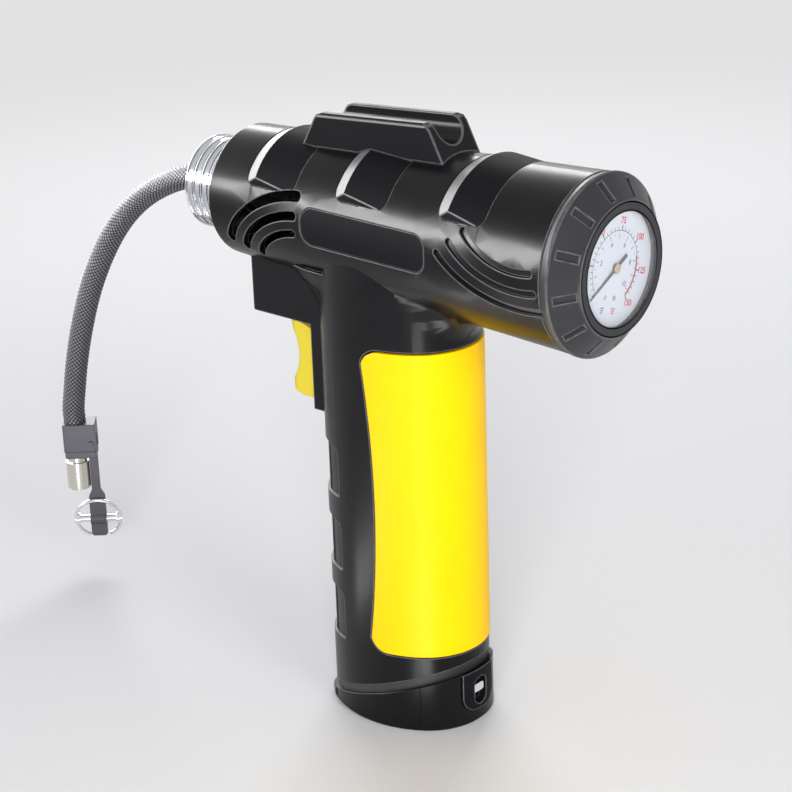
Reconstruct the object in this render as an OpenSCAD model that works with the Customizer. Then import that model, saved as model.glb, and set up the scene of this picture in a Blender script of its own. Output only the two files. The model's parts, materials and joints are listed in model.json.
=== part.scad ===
// Portable tyre inflator: pistol body, battery foot, dial gauge and braided hose with a lever chuck.
// +X runs along the barrel towards the gauge, the nose and hose are at -X, +Z is up.
// The origin is the middle of the flat underside of the battery foot. Millimetres.

/* [Barrel] */
// Height of the barrel's axis above the foot
axis_z = 185.5; // [180:0.5:192]
// Barrel radius at its front shoulder
barrel_front_r = 24; // [23:0.1:25]
// Barrel radius where the gauge bezel meets it
barrel_rear_r = 30.2; // [29.6:0.1:31]
// Length of the barrel's cone ahead of the handle's axis
barrel_front_l = 67.5; // [66:0.5:72]
// Length of the barrel's cone behind the handle's axis
barrel_rear_l = 84; // [82:0.5:88]
// Radius of the round on the barrel's front edge
front_round = 1.5; // [0.5:0.1:3]
// Wall of the moulded shells
wall = 2.4; // [2:0.1:2.8]

/* [Handle] */
// Half width of the handle across the barrel
handle_half_w = 24.6; // [24:0.1:26]
// Half depth of the handle along the barrel
handle_half_d = 30.8; // [30:0.1:32]
// Radius of the handle's front and rear rounds
handle_end_r = 22; // [21:0.1:23]
// Height of the handle's lower edge on its axis
handle_low_z = 14.4; // [13.8:0.1:16]
// Rise of the handle's lower edge per millimetre towards the rear
handle_low_slope = 0.345; // [0.3:0.005:0.36]
// Depth of the three finger recesses
finger_depth = 0.9; // [0.5:0.1:1.2]

/* [Grip panel] */
// Lower edge of the yellow grip panel
grip_low_z = 30; // [28:0.5:36]
// Upper edge of the yellow grip panel
grip_top_z = 145.6; // [140:0.2:147]
// Place of the panel's front edge behind the handle's axis
grip_front_x = 6.3; // [4:0.1:10]
// Height of the panel above the shell
grip_proud = 0.4; // [0:0.1:0.8]
// Depth of the panel's seat in the shell
grip_seat = 1.2; // [0.8:0.1:1.4]
// Seam all round the panel
grip_seam = 0.7; // [0.3:0.1:1]

/* [Bezel and gauge] */
// Radius of the bezel's widest edge
bezel_r = 30.6; // [30.3:0.1:31.5]
// Radius of the visible dial
dial_r = 18; // [17:0.1:18.4]
// Place of the dial's face along the barrel
dial_x = 91.6; // [91:0.1:92.4]
// Number of notches round the bezel
bezel_notches = 12; // [8:1:16]
// Sweep of the needle over the scale, degrees
needle_sweep = 270; // [210:1:280]
// Turn of the dial from upright, clockwise, degrees
dial_turn = 18; // [0:1:20]

/* [Pads and vents] */
// Height of a pad's front ridge above the barrel
pad_rise = 1.6; // [0.6:0.1:2]
// Depth of a pad's rear edge below the barrel
pad_sink = 0.3; // [0.1:0.1:1]
// Length of a pad's bevelled front
pad_bevel = 5.2; // [3:0.1:7]
// Width of the widest vent slot
vent_w = 3.6; // [2.4:0.1:4]
// Width of a rear groove
groove_w = 2.4; // [1.5:0.1:3]
// Depth of a rear groove
groove_depth = 1; // [0.5:0.1:1.3]

/* [Hose clip] */
// Overall width of the hose clip
clip_w = 19.5; // [18:0.5:21]
// Width of the channel that takes the hose
clip_channel_w = 13; // [12:0.2:14]
// Fall of the clip's top from rear to front
clip_fall = 3; // [1:0.2:3.4]
// Depth of the clip's channel
clip_channel_depth = 8.4; // [7:0.2:8.6]
// Height of the clip's top above the barrel's axis
clip_rise = 39; // [36:0.2:39]

/* [Trigger] */
// Width of the trigger
trigger_w = 14; // [12:0.5:15]
// Travel of the trigger
trigger_travel = 5; // [3:0.5:5]
// Height of the trigger's lower tip
trigger_low_z = 113; // [112.6:0.1:114]

/* [Compressor] */
// Gear module
gear_m = 0.75; // [0.72:0.01:0.77]
// Teeth of the motor's pinion
pinion_teeth = 12; // [12:1:14]
// Teeth of the crank gear
gear_teeth = 42; // [40:1:43]
// Crank radius, half of the stroke
crank_r = 3; // [2:0.1:3.2]
// Bore of the cylinder, radius
bore_r = 9; // [8.6:0.1:9.4]
// Length of the connecting rod
rod_l = 27; // [26.5:0.1:28]
// Radius of the motor's can
motor_r = 13.75; // [12.5:0.05:14]

/* [Battery] */
// Radius of a battery cell
cell_r = 9.15; // [8.8:0.05:9.25]
// Length of a battery cell
cell_l = 65.2; // [60:0.2:66]
// Travel that takes the battery out of the handle
battery_travel = 84; // [82:1:100]
// Growth of the foot round the handle's outline
foot_grow = 1.2; // [0.8:0.1:1.6]

/* [Hose and chuck] */
// Diameter of the braided hose
hose_d = 9.4; // [8.6:0.1:10]
// Radius of the chuck's valve bore
valve_r = 3.9; // [3.85:0.01:4]
// Depth of the chuck's valve bore
valve_l = 13; // [12:0.5:13.5]
// Radius of the wire ring to the middle of its wire
ring_r = 8.6; // [7.5:0.1:8.8]
// Radius of the ring's wire
wire_r = 0.8; // [0.6:0.1:0.9]

/* [Hidden] */
$fn = 64;

run_fit = 0.05;                 // running clearance of shafts, pins and the piston, radial
gap = 0.3;                      // clearance between parts that move past each other
seat_gap = 0.1;                 // clearance where one fixed piece seats in another
eps = 0.01;
big = 300;

// ---- barrel ----
front_x = -barrel_front_l;
rear_x = barrel_rear_l;
nose_x = front_x - front_round;
cone_slope = (barrel_rear_r - barrel_front_r) / (rear_x - front_x);
function barrel_r(x) = barrel_front_r + cone_slope * (x - front_x);

// ---- handle oval, four tangent arcs ----
end_c = handle_half_d - handle_end_r;
side_c = (end_c * end_c - pow(handle_half_w - handle_end_r, 2)) / (2 * (handle_half_w - handle_end_r));
side_r = handle_half_w + side_c;
tangent_x = end_c * side_r / (side_r - handle_end_r);
function handle_y(x, grow = 0) = sqrt(pow(side_r + grow, 2) - x * x) - side_c;
neck_z = axis_z - 40;
handle_top_z = axis_z - 8;

// ---- foot ----
foot_top_z = 11.2;
foot_top_slope = 0.33;
foot_edge = 0.8;
neck_inset = 0.5;

// ---- grip panel ----
grip_corner_r = 7;
grip_low_x = 2.4;
grip_waist_r = 390;

// ---- pads: place of the front ridge, length and height above the axis of the lower edge ----
pad_x = [-50.3, -7.8, 38.3];
pad_l = [23.6, 23.8, 20];
pad_low = [10, 11.6, 13.6];
pad_corner_r = 4.2;
pad_low_slope = 0.5;            // rise of the bevel along a pad's lower edge

// ---- vents and grooves: concentric arcs, radius then start and end angle from the vertical ----
vent_c = [-22, -35];
vents = [[45, 3.5, 58.5, 1], [38.3, 5.5, 56.5, 0.88], [32, 7.5, 53, 0.72]];
groove_c = [73.5, 38];
grooves = [[34.9, -41.2, 10.6], [41.5, -42.6, 11.3], [47.8, -43.2, 12.8]];

// ---- side plate ----
clip_top_x = [-25.6, 20.6];
plate_x = [-22, 35.2];
plate_z = [-5.9, 7.3];
plate_corner_r = 5;
plate_t = 1;
plate_seat = 1.3;

// ---- trigger and its housing ----
housing_half_w = 12.3;
housing_front_x = -handle_half_d - 31.2;
housing_low_z = 144;
housing_arc_r = 22;
housing_back_x = -handle_half_d + 8.8;
strip_front_x = -handle_half_d - 1.5;
strip_low_z = trigger_low_z - 1.4;
well_back_x = housing_back_x - 2;
trigger_back_x = -handle_half_d - 5.7;
trigger_top_z = 141.6;
trigger_tip_x = -handle_half_d - 18;
trigger_hollow_r = 17;
trigger_round_r = 4;
stem_half_w = 4;
stem_z = [121, 133];
spring_z = 117;
switch_z = 127;
plunger_travel = 1;
plunger_front_x = housing_back_x + 0.2;
board_x = -handle_half_d + 17.2;
board_z = [100, 148];
board_half_w = handle_y(board_x, -wall) - seat_gap;
stem_end_x = plunger_front_x - trigger_travel + plunger_travel - seat_gap;

// ---- screws: place along X and height from the barrel's axis ----
boss_at = [[-64.6, -15.5], [-64, 13.5], [69, 21], [69, -21.5], [20, -77], [-20, -80]];
boss_r = 3.2;
screw_head_r = 2.7;
screw_r = 1.25;
screw_head_l = 2;
screw_reach = 9;

// ---- gauge ----
case_r = 20;
case_wall = 0.8;
case_back_x = 76;
fitting_end_x = case_back_x + 5.2;
dial_t = 0.6;
lens_x = dial_x + 1.5;
lens_t = 0.8;
lip_t = 0.7;
rim_x = lens_x + lens_t + lip_t;
lens_r = case_r + 0.1;
spindle_r = 0.6;
rest_angle = (360 - needle_sweep) / 2 + dial_turn;
tube_mid_r = 12.5;
spigot_l = 6;

// ---- compressor ----
motor_z = axis_z + 8.5;
gear_z = motor_z - gear_m * (pinion_teeth + gear_teeth) / 2;
motor_x = [20, 56];
cradle_x = [25, 45];
cradle_t = 2;
endcap_l = 4;
shaft_r = 1.6;
bracket_t = 2.5;
bracket_x = motor_x[0] - bracket_t;
gear_x = 10.5;
gear_t = 5;
pinion_x = 9.8;
pinion_l = 6.4;
hub_r = 6;
hub_l = 1.4;
axle_r = 2.5;
axle_seat = 2.9;
crank_pin_r = 1.75;
crank_pin_seat = 2.2;
rod_x = 5;
rod_t = 3.5;
cyl_x = rod_x + rod_t / 2;
pin_z = gear_z - crank_r;
wrist_z = pin_z - rod_l;
wrist_r = 1.4;
small_end_r = 2.6;
big_end_r = 3.9;
stroke = 2 * crank_r;
piston_r = bore_r - run_fit;
piston_in_r = piston_r - 1.9;
piston_top_z = wrist_z + 3.6;
crown_in_z = wrist_z - small_end_r - 0.6;
crown_t = 2.6;
crown_z = crown_in_z - crown_t;
cyl_low_z = crown_z - 0.6;
cyl_top_z = piston_top_z + stroke + 1.2;
cyl_wall = 2;
fin_r = bore_r + 3.4;
flange_t = 3;
head_t = 8;
port_r = 2.6;
tube_r = 2.2;
tube_bore_r = 1.2;

// ---- battery ----
pitch = 2 * cell_r + 0.4;
cell_at = [[-pitch / 2, -7.8], [pitch / 2, -7.8], [0, pitch * sqrt(3) / 2 - 7.8]];
cell_low_z = 14;
case_low_z = cell_low_z - 1.5;
case_top_z = cell_low_z + cell_l + 6;
case_inset = 4.2;
pack_wall = 1.2;
contact_z = case_top_z + 0.6;

// ---- latch ----
latch_half_w = 8.2;
latch_low_z = 5.6;
latch_proud = 0.8;
pill_half_w = 3.3;
pill_depth = 2;
button_z = 13.6;
button_h = 3.2;
button_travel = 2.5;
spring_r = 1.1;
spring_solid_l = 2.1;
pill_z = [button_z - button_h / 2 - button_travel - spring_solid_l, 18.4];
spring_foot_z = pill_z[0] + 0.9;
frame_out_x = handle_half_d + foot_grow + latch_proud;

// ---- nose and hose ----
collar_l = 18.6;
ring_pitch = 3.8;
ring_front_x = nose_x - collar_l;
collar_ring_r = 17.2;
collar_band_r = 16.8;
collar_groove_r = 16;
spigot_r = 8.6;
gland_l = 6.2;
gland_bore_r = hose_d / 2 + 0.05;
hose_exit_x = ring_front_x - gland_l;
hose_end = [-182.5, 66];
HOSE = [
    [hose_exit_x, axis_z], [-101, 184.7], [-109, 182.4], [-117, 179], [-125, 174.7], [-133, 169.2],
    [-141, 162.2], [-148, 154.4], [-154.5, 145.6], [-160.5, 136], [-166, 125.6], [-170.5, 115],
    [-174.5, 104], [-178, 92.4], [-180.8, 80.5], [hose_end[0], 72], hose_end
];
hose_sides = 12;

// ---- chuck ----
chuck_x = hose_end[0];
chuck_top_z = hose_end[1];
block_x = [chuck_x - 4.8, chuck_x + 8.4];
block_half_w = 4.8;
block_h = 12;
cap_h = 3;
barrel_x = chuck_x - 0.4;
barrel_out_r = valve_r + 0.9;
seal_t = 1.6;
seal_r = valve_r - 0.5;
barrel_lip = 0.9;
barrel_top_z = chuck_top_z - block_h - cap_h;
barrel_low_z = barrel_top_z - valve_l - seal_t;
lever_x = chuck_x + 6.4;
lever_pivot_z = chuck_top_z - block_h + 3.6;
lever_half_t = 1.25;
lever_arm_w = 3.4;
lever_pad_w = 6.6;
lever_pad_z = [chuck_top_z - 52, chuck_top_z - 33];
ring_z = chuck_top_z - 44.4;
cross_pin_r = 1.6;
lever_pin_r = 1;
ring_gap = 26;
loop_r = ring_r + 0.9;
ring_tilt = asin((lever_half_t + wire_r + gap) / loop_r);
chuck_turn = 42;                // how far the chuck hangs turned about the hose's end

// Turns the chuck about the hose's end
module turned() {
    translate([chuck_x, 0, 0]) rotate([0, 0, chuck_turn]) translate([-chuck_x, 0, 0]) children();
}

// ================= shapes =================

// Revolves a profile of [radius, x] points about the barrel's axis
module about_barrel(z = axis_z) {
    translate([0, 0, z]) rotate([0, 90, 0]) rotate_extrude() children();
}

// Extrudes an [x, z] outline across the barrel, over the given half width
module across(half) {
    rotate([90, 0, 0]) linear_extrude(2 * half, center = true) children();
}

module rod_x(x0, x1, r, y = 0, z = axis_z) {
    translate([x0, y, z]) rotate([0, 90, 0]) cylinder(h = x1 - x0, r = r);
}

module rod_y(y0, y1, r, x, z) {
    translate([x, y1, z]) rotate([90, 0, 0]) cylinder(h = y1 - y0, r = r);
}

module box(x, y, z) {
    translate([x[0], y[0], z[0]]) cube([x[1] - x[0], y[1] - y[0], z[1] - z[0]]);
}

module round_rect(x, z, r) {
    translate([x[0] + r, z[0]]) square([x[1] - x[0] - 2 * r, z[1] - z[0]]);
    translate([x[0], z[0] + r]) square([x[1] - x[0], z[1] - z[0] - 2 * r]);
    for (cx = [x[0] + r, x[1] - r], cz = [z[0] + r, z[1] - r])
        translate([cx, cz]) circle(r);
}

// The handle's oval, grown or shrunk all round
module oval(grow = 0) {
    for (s = [-1, 1]) translate([s * end_c, 0]) circle(handle_end_r + grow);
    intersection() {
        translate([0, side_c]) circle(side_r + grow, $fn = 128);
        translate([0, -side_c]) circle(side_r + grow, $fn = 128);
        square([2 * tangent_x, big], center = true);
    }
}

module oval_column(z0, z1, grow = 0) {
    translate([0, 0, z0]) linear_extrude(z1 - z0) oval(grow);
}

// Everything above a plane that rises towards +X
module above_slope(z, slope, half = 130) {
    across(half) polygon([[-half, z - slope * half], [half, z + slope * half], [half, big], [-half, big]]);
}

// Everything below such a plane
module below_slope(z, slope, half = 60) {
    low = -20;
    across(half) polygon([[(low - z) / slope, low], [half, low], [half, z + slope * half]]);
}

// An arc band about c with round ends, from angle a0 up to a1 off the vertical
module arc_band(c, r, w, a0, a1) {
    arc_steps = 16;
    cap_steps = 6;
    function at(a, radius) = radius * [sin(a), cos(a)];
    function along(i) = a0 + (a1 - a0) * i / arc_steps;
    translate(c) polygon([
        for (i = [0:arc_steps]) at(along(i), r + w / 2),
        for (k = [1:cap_steps - 1]) at(a1, r) + at(a1 + 180 * k / cap_steps, w / 2),
        for (i = [arc_steps:-1:0]) at(along(i), r - w / 2),
        for (k = [1:cap_steps - 1]) at(a0, r) + at(a0 + 180 + 180 * k / cap_steps, w / 2)
    ]);
}

// Involute gear outline with one tooth on the +Y axis
module gear_outline(teeth, m, backlash = 0.16) {
    rp = m * teeth / 2;
    rb = rp * cos(20);
    tip = rp + 0.95 * m;
    root = rp - 1.2 * m;
    half = (90 - backlash / m * 180 / PI) / teeth;
    function inv(r) = r <= rb ? 0 : tan(acos(rb / r)) * 180 / PI - acos(rb / r);
    radii = [root, max(rb, root + eps), rp, tip];
    function flank(r) = half + inv(rp) - inv(r);
    polygon([for (i = [0:teeth - 1], k = [0:7])
        let (r = radii[k < 4 ? k : 7 - k], side = k < 4 ? -1 : 1, a = i * 360 / teeth + side * flank(r))
        r * [sin(a), cos(a)]]);
}

// ================= barrel and handle solids =================

module barrel_solid() {
    about_barrel() {
        polygon([[0, nose_x],
            for (i = [0:7]) let (t = i * 90 / 8)
                [barrel_front_r - front_round * (1 - sin(t)), front_x - front_round * cos(t)],
            [barrel_front_r, front_x], [barrel_rear_r, rear_x], [0, rear_x]]);
    }
}

module barrel_cavity() {
    about_barrel() polygon([[0, nose_x + wall], [barrel_front_r - wall - 1, nose_x + wall],
        [barrel_front_r - wall, nose_x + wall + 1], [barrel_rear_r - wall, rear_x + 1], [0, rear_x + 1]]);
}

// Blend between handle and barrel: height above its foot, then how far the rear and the front
// round move out and shrink there
neck_steps = [[0, 0, 0, 0, 0], [4.5, 4.5, 3.4, 2.2, 1.4], [8.5, 10.6, 6.5, 6, 3],
    [11.5, 15.7, 7.5, 9.1, 3.8], [14.5, 17.7, 5.7, 13.4, 4.7], [18.5, 14.7, 1.9, 17.7, 4],
    [22.5, 15.2, 1, 15.2, 1]];

module neck_slice(step) {
    translate([0, 0, neck_z + step[0]]) linear_extrude(eps) {
        for (s = [-1, 1]) translate([s * end_c, 0]) circle(handle_end_r - 0.4, $fn = 32);
        translate([end_c + step[1], 0]) circle(handle_end_r - 0.4 - step[2], $fn = 32);
        translate([-end_c - step[3], 0]) circle(handle_end_r - 0.4 - step[4], $fn = 32);
    }
}

module neck() {
    for (i = [0:len(neck_steps) - 2]) hull() {
        neck_slice(neck_steps[i]);
        neck_slice(neck_steps[i + 1]);
    }
}

module body_solid() {
    barrel_solid();
    oval_column(0, handle_top_z);
    neck();
}

module pad_outline(i) {
    round_rect([pad_x[i], pad_x[i] + pad_l[i]], [pad_low[i], 50], pad_corner_r);
}

function pad_x1(i) = pad_x[i] + pad_l[i];
function ridge_x(i) = pad_x[i] + pad_bevel;

// The stock of one pad: a bevelled front up to its ridge
module pad_stock(i) {
    about_barrel() polygon([[barrel_r(pad_x[i]) - 1.6, pad_x[i]], [barrel_r(pad_x[i]) + 0.1, pad_x[i]],
        [barrel_r(ridge_x(i)) + pad_rise, ridge_x(i)], [barrel_r(pad_x1(i)) + 0.6, pad_x1(i)],
        [barrel_r(pad_x1(i)) - 1.6, pad_x1(i)]]);
}

// What lies above a pad's top, which falls from the ridge to below the barrel's skin
module pad_top_cut(i) {
    about_barrel() polygon([[barrel_r(ridge_x(i)) + pad_rise, ridge_x(i)],
        [barrel_r(pad_x1(i)) - pad_sink, pad_x1(i)], [barrel_r(pad_x1(i)) + 5, pad_x1(i)],
        [barrel_r(ridge_x(i)) + 5, ridge_x(i)]]);
}

// What lies outside the bevel along a pad's two lower edges
module pad_low_cut(i) {
    turn = acos(pad_low[i] / barrel_r((pad_x[i] + pad_x1(i)) / 2));
    for (s = [0, 1]) translate([0, 0, axis_z]) mirror([0, s, 0]) rotate([turn, 0, 0])
        translate([0, 0, barrel_r(0)]) rotate([0, -atan(cone_slope), 0]) rotate([90, 0, 90])
            linear_extrude(2 * big, center = true)
                polygon([[-20, -20 * pad_low_slope], [20, 20 * pad_low_slope], [20, 30], [-20, 30]]);
}

module in_pad_outline(i) {
    intersection() {
        children();
        translate([0, 0, axis_z]) across(60) pad_outline(i);
    }
}

module finger_recess(z0, z1) {
    intersection() {
        difference() {
            oval_column(z0, z1, 4);
            oval_column(z0, z1, -finger_depth);
        }
        across(60) polygon([[-50, z0 - 3], [-12.6, z0 + 1], [-12.2, z0 + 4], [-12.2, z1 - 4],
            [-12.6, z1 - 1.2], [-50, z1 + 9]]);
    }
}

module grip_outline(grow) {
    difference() {
        round_rect([grip_low_x - grow, 60], [grip_low_z - grow, grip_top_z + grow], grip_corner_r + grow);
        translate([grip_front_x - grip_waist_r, (grip_low_z + grip_top_z) / 2])
            circle(grip_waist_r - grow, $fn = 400);
    }
}

module grip_zone(grow, depth, proud) {
    intersection() {
        difference() {
            oval_column(grip_low_z - 5, grip_top_z + 5, proud);
            oval_column(grip_low_z - 6, grip_top_z + 6, -depth);
        }
        across(60) grip_outline(grow);
    }
}

module plate_zone(grow, r_out, r_in) {
    intersection() {
        about_barrel() polygon([for (p = [[r_in, plate_x[0] - 3], [r_out, plate_x[0] - 3],
            [r_out, plate_x[1] + 3], [r_in, plate_x[1] + 3]]) [barrel_r(p[1]) + p[0], p[1]]]);
        box([-big, big], [-big, 0], [0, big]);
        translate([0, 0, axis_z]) across(60) round_rect([plate_x[0] - grow, plate_x[1] + grow],
            [plate_z[0] - grow, plate_z[1] + grow], plate_corner_r + grow);
    }
}

// Side outline of the trigger housing: nose block over the trigger, narrow strip behind it
module trigger_housing_outline(grow = 0) {
    x2 = housing_back_x + grow;
    z2 = axis_z - 14 + grow;
    polygon([[housing_front_x - grow, housing_low_z - grow], [strip_front_x - grow, housing_low_z - grow],
        [strip_front_x - grow, strip_low_z - grow], [x2, strip_low_z - grow], [x2, z2],
        [housing_front_x - grow, z2]]);
}

module trigger_well() {
    box([strip_front_x - 1, well_back_x], [-trigger_w / 2 - gap, trigger_w / 2 + gap],
        [trigger_low_z - 0.8, trigger_top_z + 0.8]);
    box([well_back_x - 1, housing_back_x + 1], [-stem_half_w - gap, stem_half_w + gap],
        [stem_z[0] - gap, stem_z[1] + gap]);
}

module boss(i, r, y0, y1) {
    rod_y(y0, y1, r, boss_at[i][0], axis_z + boss_at[i][1]);
}

// A body with the pads raised from it
module outer_skin() {
    difference() {
        union() {
            children();
            for (i = [0:2]) difference() {
                in_pad_outline(i) pad_stock(i);
                pad_low_cut(i);
            }
        }
        for (i = [0:2]) in_pad_outline(i) pad_top_cut(i);
    }
}

// Rib that holds the motor's can
module motor_cradle(x) {
    difference() {
        box([x, x + cradle_t], [-40, 40], [axis_z - 3, axis_z + 40]);
        rod_x(x - 1, x + cradle_t + 1, motor_r + seat_gap, 0, motor_z);
    }
}

module shell_half(side) {
    intersection() {
        children();
        box([-big, big], side < 0 ? [-big, 0] : [0, big], [-big, big]);
    }
}

module shell(side) {
    difference() {
        shell_half(side) difference() {
            outer_skin() body_solid();
            difference() {
                union() {
                    barrel_cavity();
                    oval_column(-2, axis_z - 10, -wall);
                }
                for (i = [0:len(boss_at) - 1]) boss(i, boss_r, -40, 40);
                for (x = cradle_x) motor_cradle(x);
            }
            below_slope(handle_low_z, handle_low_slope);
        }
        rod_x(nose_x - 1, nose_x + wall + 1, spigot_r + seat_gap);
        for (v = vents) translate([0, 0, axis_z]) across(60)
            arc_band(vent_c, v[0], vent_w * v[3], -v[2], -v[1]);
        intersection() {
            about_barrel() polygon([for (p = [[-groove_depth, 30], [6, 30], [6, rear_x + 1],
                [-groove_depth, rear_x + 1]]) [barrel_r(p[1]) + p[0], p[1]]]);
            translate([0, 0, axis_z]) across(60)
                for (g = grooves) arc_band(groove_c, g[0], groove_w, 180 - g[2], 180 - g[1]);
        }
        finger_recess(84.5, 104.5);
        finger_recess(55.5, 75.5);
        finger_recess(27.5, 47.5);
        grip_zone(grip_seam, grip_seat, 5);
        if (side < 0) plate_zone(0.2, 5, -plate_seat);
        across(housing_half_w + seat_gap) trigger_housing_outline(seat_gap);
        for (i = [0:len(boss_at) - 1]) if (side < 0) {
            boss(i, screw_r + 0.1, -screw_reach - 1, 1);
        } else {
            boss(i, screw_r + 0.3, -1, 40);
            boss(i, screw_head_r + 0.3, screw_reach, 40);
        }
    }
}

module housing_left() {
    color([0.03, 0.03, 0.035]) shell(-1);
}

module housing_right() {
    color([0.03, 0.03, 0.035]) shell(1);
}

module housing_screws() {
    color([0.35, 0.35, 0.37]) for (i = [0:len(boss_at) - 1]) difference() {
        union() {
            boss(i, screw_r, -screw_reach, screw_reach + eps);
            boss(i, screw_head_r, screw_reach, screw_reach + screw_head_l);
        }
        for (a = [0, 90]) translate([boss_at[i][0], screw_reach + screw_head_l, axis_z + boss_at[i][1]])
            rotate([0, a, 0]) cube([3, 2, 0.7], center = true);
    }
}

module side_plate() {
    color([0.1, 0.1, 0.11]) plate_zone(0, -plate_seat + plate_t, -plate_seat);
}

module grip_panel() {
    color([1, 0.82, 0]) grip_zone(0, grip_seat, grip_proud);
}

module hose_clip() {
    low = clip_rise - clip_fall;
    slope = clip_fall / (clip_top_x[1] - clip_top_x[0]);
    channel_z = clip_rise - clip_channel_depth + clip_channel_w / 2;
    color([0.09, 0.09, 0.1]) translate([0, 0, axis_z]) difference() {
        across(clip_w / 2)
            polygon([[clip_top_x[0] - 12.4, 17], [clip_top_x[0] - 2.6, low - 1.8],
                [clip_top_x[0] - 1.6, low - 0.6], [clip_top_x[0], low], [clip_top_x[1], clip_rise],
                [clip_top_x[1] + 1.8, clip_rise - 0.7], [clip_top_x[1] + 3.2, clip_rise - 2.2],
                [clip_top_x[1] + 11.9, 20], [clip_top_x[1] + 11.9, 17]]);
        translate([clip_top_x[1], 0, channel_z]) rotate([0, -atan(slope), 0]) {
            rotate([0, 90, 0]) cylinder(h = big, r = clip_channel_w / 2, center = true);
            translate([0, 0, big / 2]) cube([big, clip_channel_w, big], center = true);
        }
        translate([0, 0, -axis_z]) outer_skin() barrel_solid();
        for (s = [-1, 1]) translate([clip_top_x[1], s * clip_w / 2, clip_rise])
            rotate([0, -atan(slope), 0]) rotate([45, 0, 0]) cube([big, 1.2, 1.2], center = true);
    }
}

// ================= trigger group =================

module trigger_housing() {
    color([0.06, 0.06, 0.065]) difference() {
        intersection() {
            across(housing_half_w) trigger_housing_outline();
            translate([0, 0, 100]) linear_extrude(90)
                round_rect([housing_front_x, 0], [-housing_half_w, housing_half_w], 3);
        }
        trigger_well();
        about_barrel() polygon([[0, -80], [barrel_r(-80) - wall - seat_gap, -80],
            [barrel_r(0) - wall - seat_gap, 0], [0, 0]]);
    }
}

// Side outline of the trigger: tip below, hollow front for the finger
module trigger_outline() {
    hollow = [trigger_tip_x + 5.2 - trigger_hollow_r, (trigger_low_z + trigger_top_z) / 2 + 1.6];
    difference() {
        polygon([[trigger_tip_x + 1.2, trigger_top_z - 0.2], [trigger_back_x - 5, trigger_top_z - 0.6],
            [trigger_back_x, trigger_top_z - 2.4], [trigger_back_x, trigger_low_z],
            [trigger_back_x - 6, trigger_low_z], [trigger_tip_x + 1.6, trigger_low_z + 1.4],
            [trigger_tip_x, trigger_low_z + 3]]);
        translate(hollow) circle(trigger_hollow_r, $fn = 96);
    }
}

module trigger() {
    color([0.95, 0.8, 0.1]) {
        difference() {
            intersection() {
                across(trigger_w / 2) trigger_outline();
                translate([0, 0, 100]) linear_extrude(50)
                    round_rect([trigger_tip_x - 0.2, trigger_back_x + 8], [-trigger_w / 2, trigger_w / 2],
                        trigger_round_r);
            }
            rod_x(trigger_back_x - 3, trigger_back_x + 1, 3, 0, spring_z);
        }
        box([trigger_back_x, stem_end_x], [-stem_half_w, stem_half_w], stem_z);
    }
}

module trigger_spring() {
    color([0.7, 0.7, 0.72]) difference() {
        rod_x(trigger_back_x - 3, well_back_x, 2.6, 0, spring_z);
        rod_x(trigger_back_x - 4, well_back_x + 1, 2, 0, spring_z);
    }
}

module switch_body() {
    color([0.15, 0.15, 0.16]) difference() {
        box([plunger_front_x + 1.6, board_x], [-3.2, 3.2], [switch_z - 6.5, switch_z + 6.5]);
        rod_x(plunger_front_x + 1, plunger_front_x + 6, 1.25, 0, switch_z);
    }
}

module switch_plunger() {
    color([0.75, 0.2, 0.15]) rod_x(plunger_front_x, plunger_front_x + 4, 1.2, 0, switch_z);
}

module control_board() {
    color([0.05, 0.3, 0.12]) difference() {
        box([board_x, board_x + 1.6], [-board_half_w, board_half_w], board_z);
        for (y = [-12, 12]) rod_x(board_x - 1, board_x + 3, 1.6, y, board_z[1] - 4);
    }
    color([0.1, 0.1, 0.1]) {
        box([board_x - 3, board_x], [-12, -6], [110, 118]);
        rod_x(board_x - 8, board_x, 3, 9, 114);
    }
}

// ================= nose and air path =================

module nose_collar() {
    color([0.75, 0.76, 0.78]) difference() {
        about_barrel() polygon([[gland_bore_r + 1.7, ring_front_x], [collar_groove_r, ring_front_x],
            for (i = [0:2]) let (x = ring_front_x + i * ring_pitch) each [
                [collar_ring_r - 0.3, x + 0.1], [collar_ring_r, x + 0.4], [collar_ring_r, x + 0.8],
                [collar_band_r, x + 1], [collar_band_r, x + ring_pitch - 0.6],
                [collar_groove_r, x + ring_pitch - 0.5], [collar_groove_r, x + ring_pitch - 0.1]],
            [collar_band_r, ring_front_x + 3 * ring_pitch], [collar_band_r, nose_x], [spigot_r, nose_x],
            [spigot_r, nose_x + wall + 4], [gland_bore_r + 1.7, nose_x + wall + 4]]);
    }
}

module hose_gland() {
    color([0.08, 0.08, 0.08]) about_barrel() polygon([[gland_bore_r, hose_exit_x],
        [gland_bore_r + 0.9, hose_exit_x], [gland_bore_r + 1.6, ring_front_x - 1],
        [gland_bore_r + 1.6, nose_x + wall + 4], [gland_bore_r, nose_x + wall + 4]]);
}

module outlet_fitting() {
    x0 = nose_x + wall + 4;
    color([0.8, 0.65, 0.3]) difference() {
        union() {
            rod_x(hose_exit_x + 1, x0 + 6, 2.6);
            rod_x(x0, x0 + 4, 8);
            rod_x(x0 + 4, x0 + 14, 3.2);
        }
        rod_x(hose_exit_x - 1, x0 + 16, 1.6);
    }
}

// A round tube through points in the XZ plane, with a fuller elbow at each bend
module bent_tube(points) {
    difference() {
        bent_rod(points, tube_r, tube_r + 0.2, 0);
        bent_rod(points, tube_bore_r, tube_bore_r + 0.15, 1);
    }
}

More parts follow.
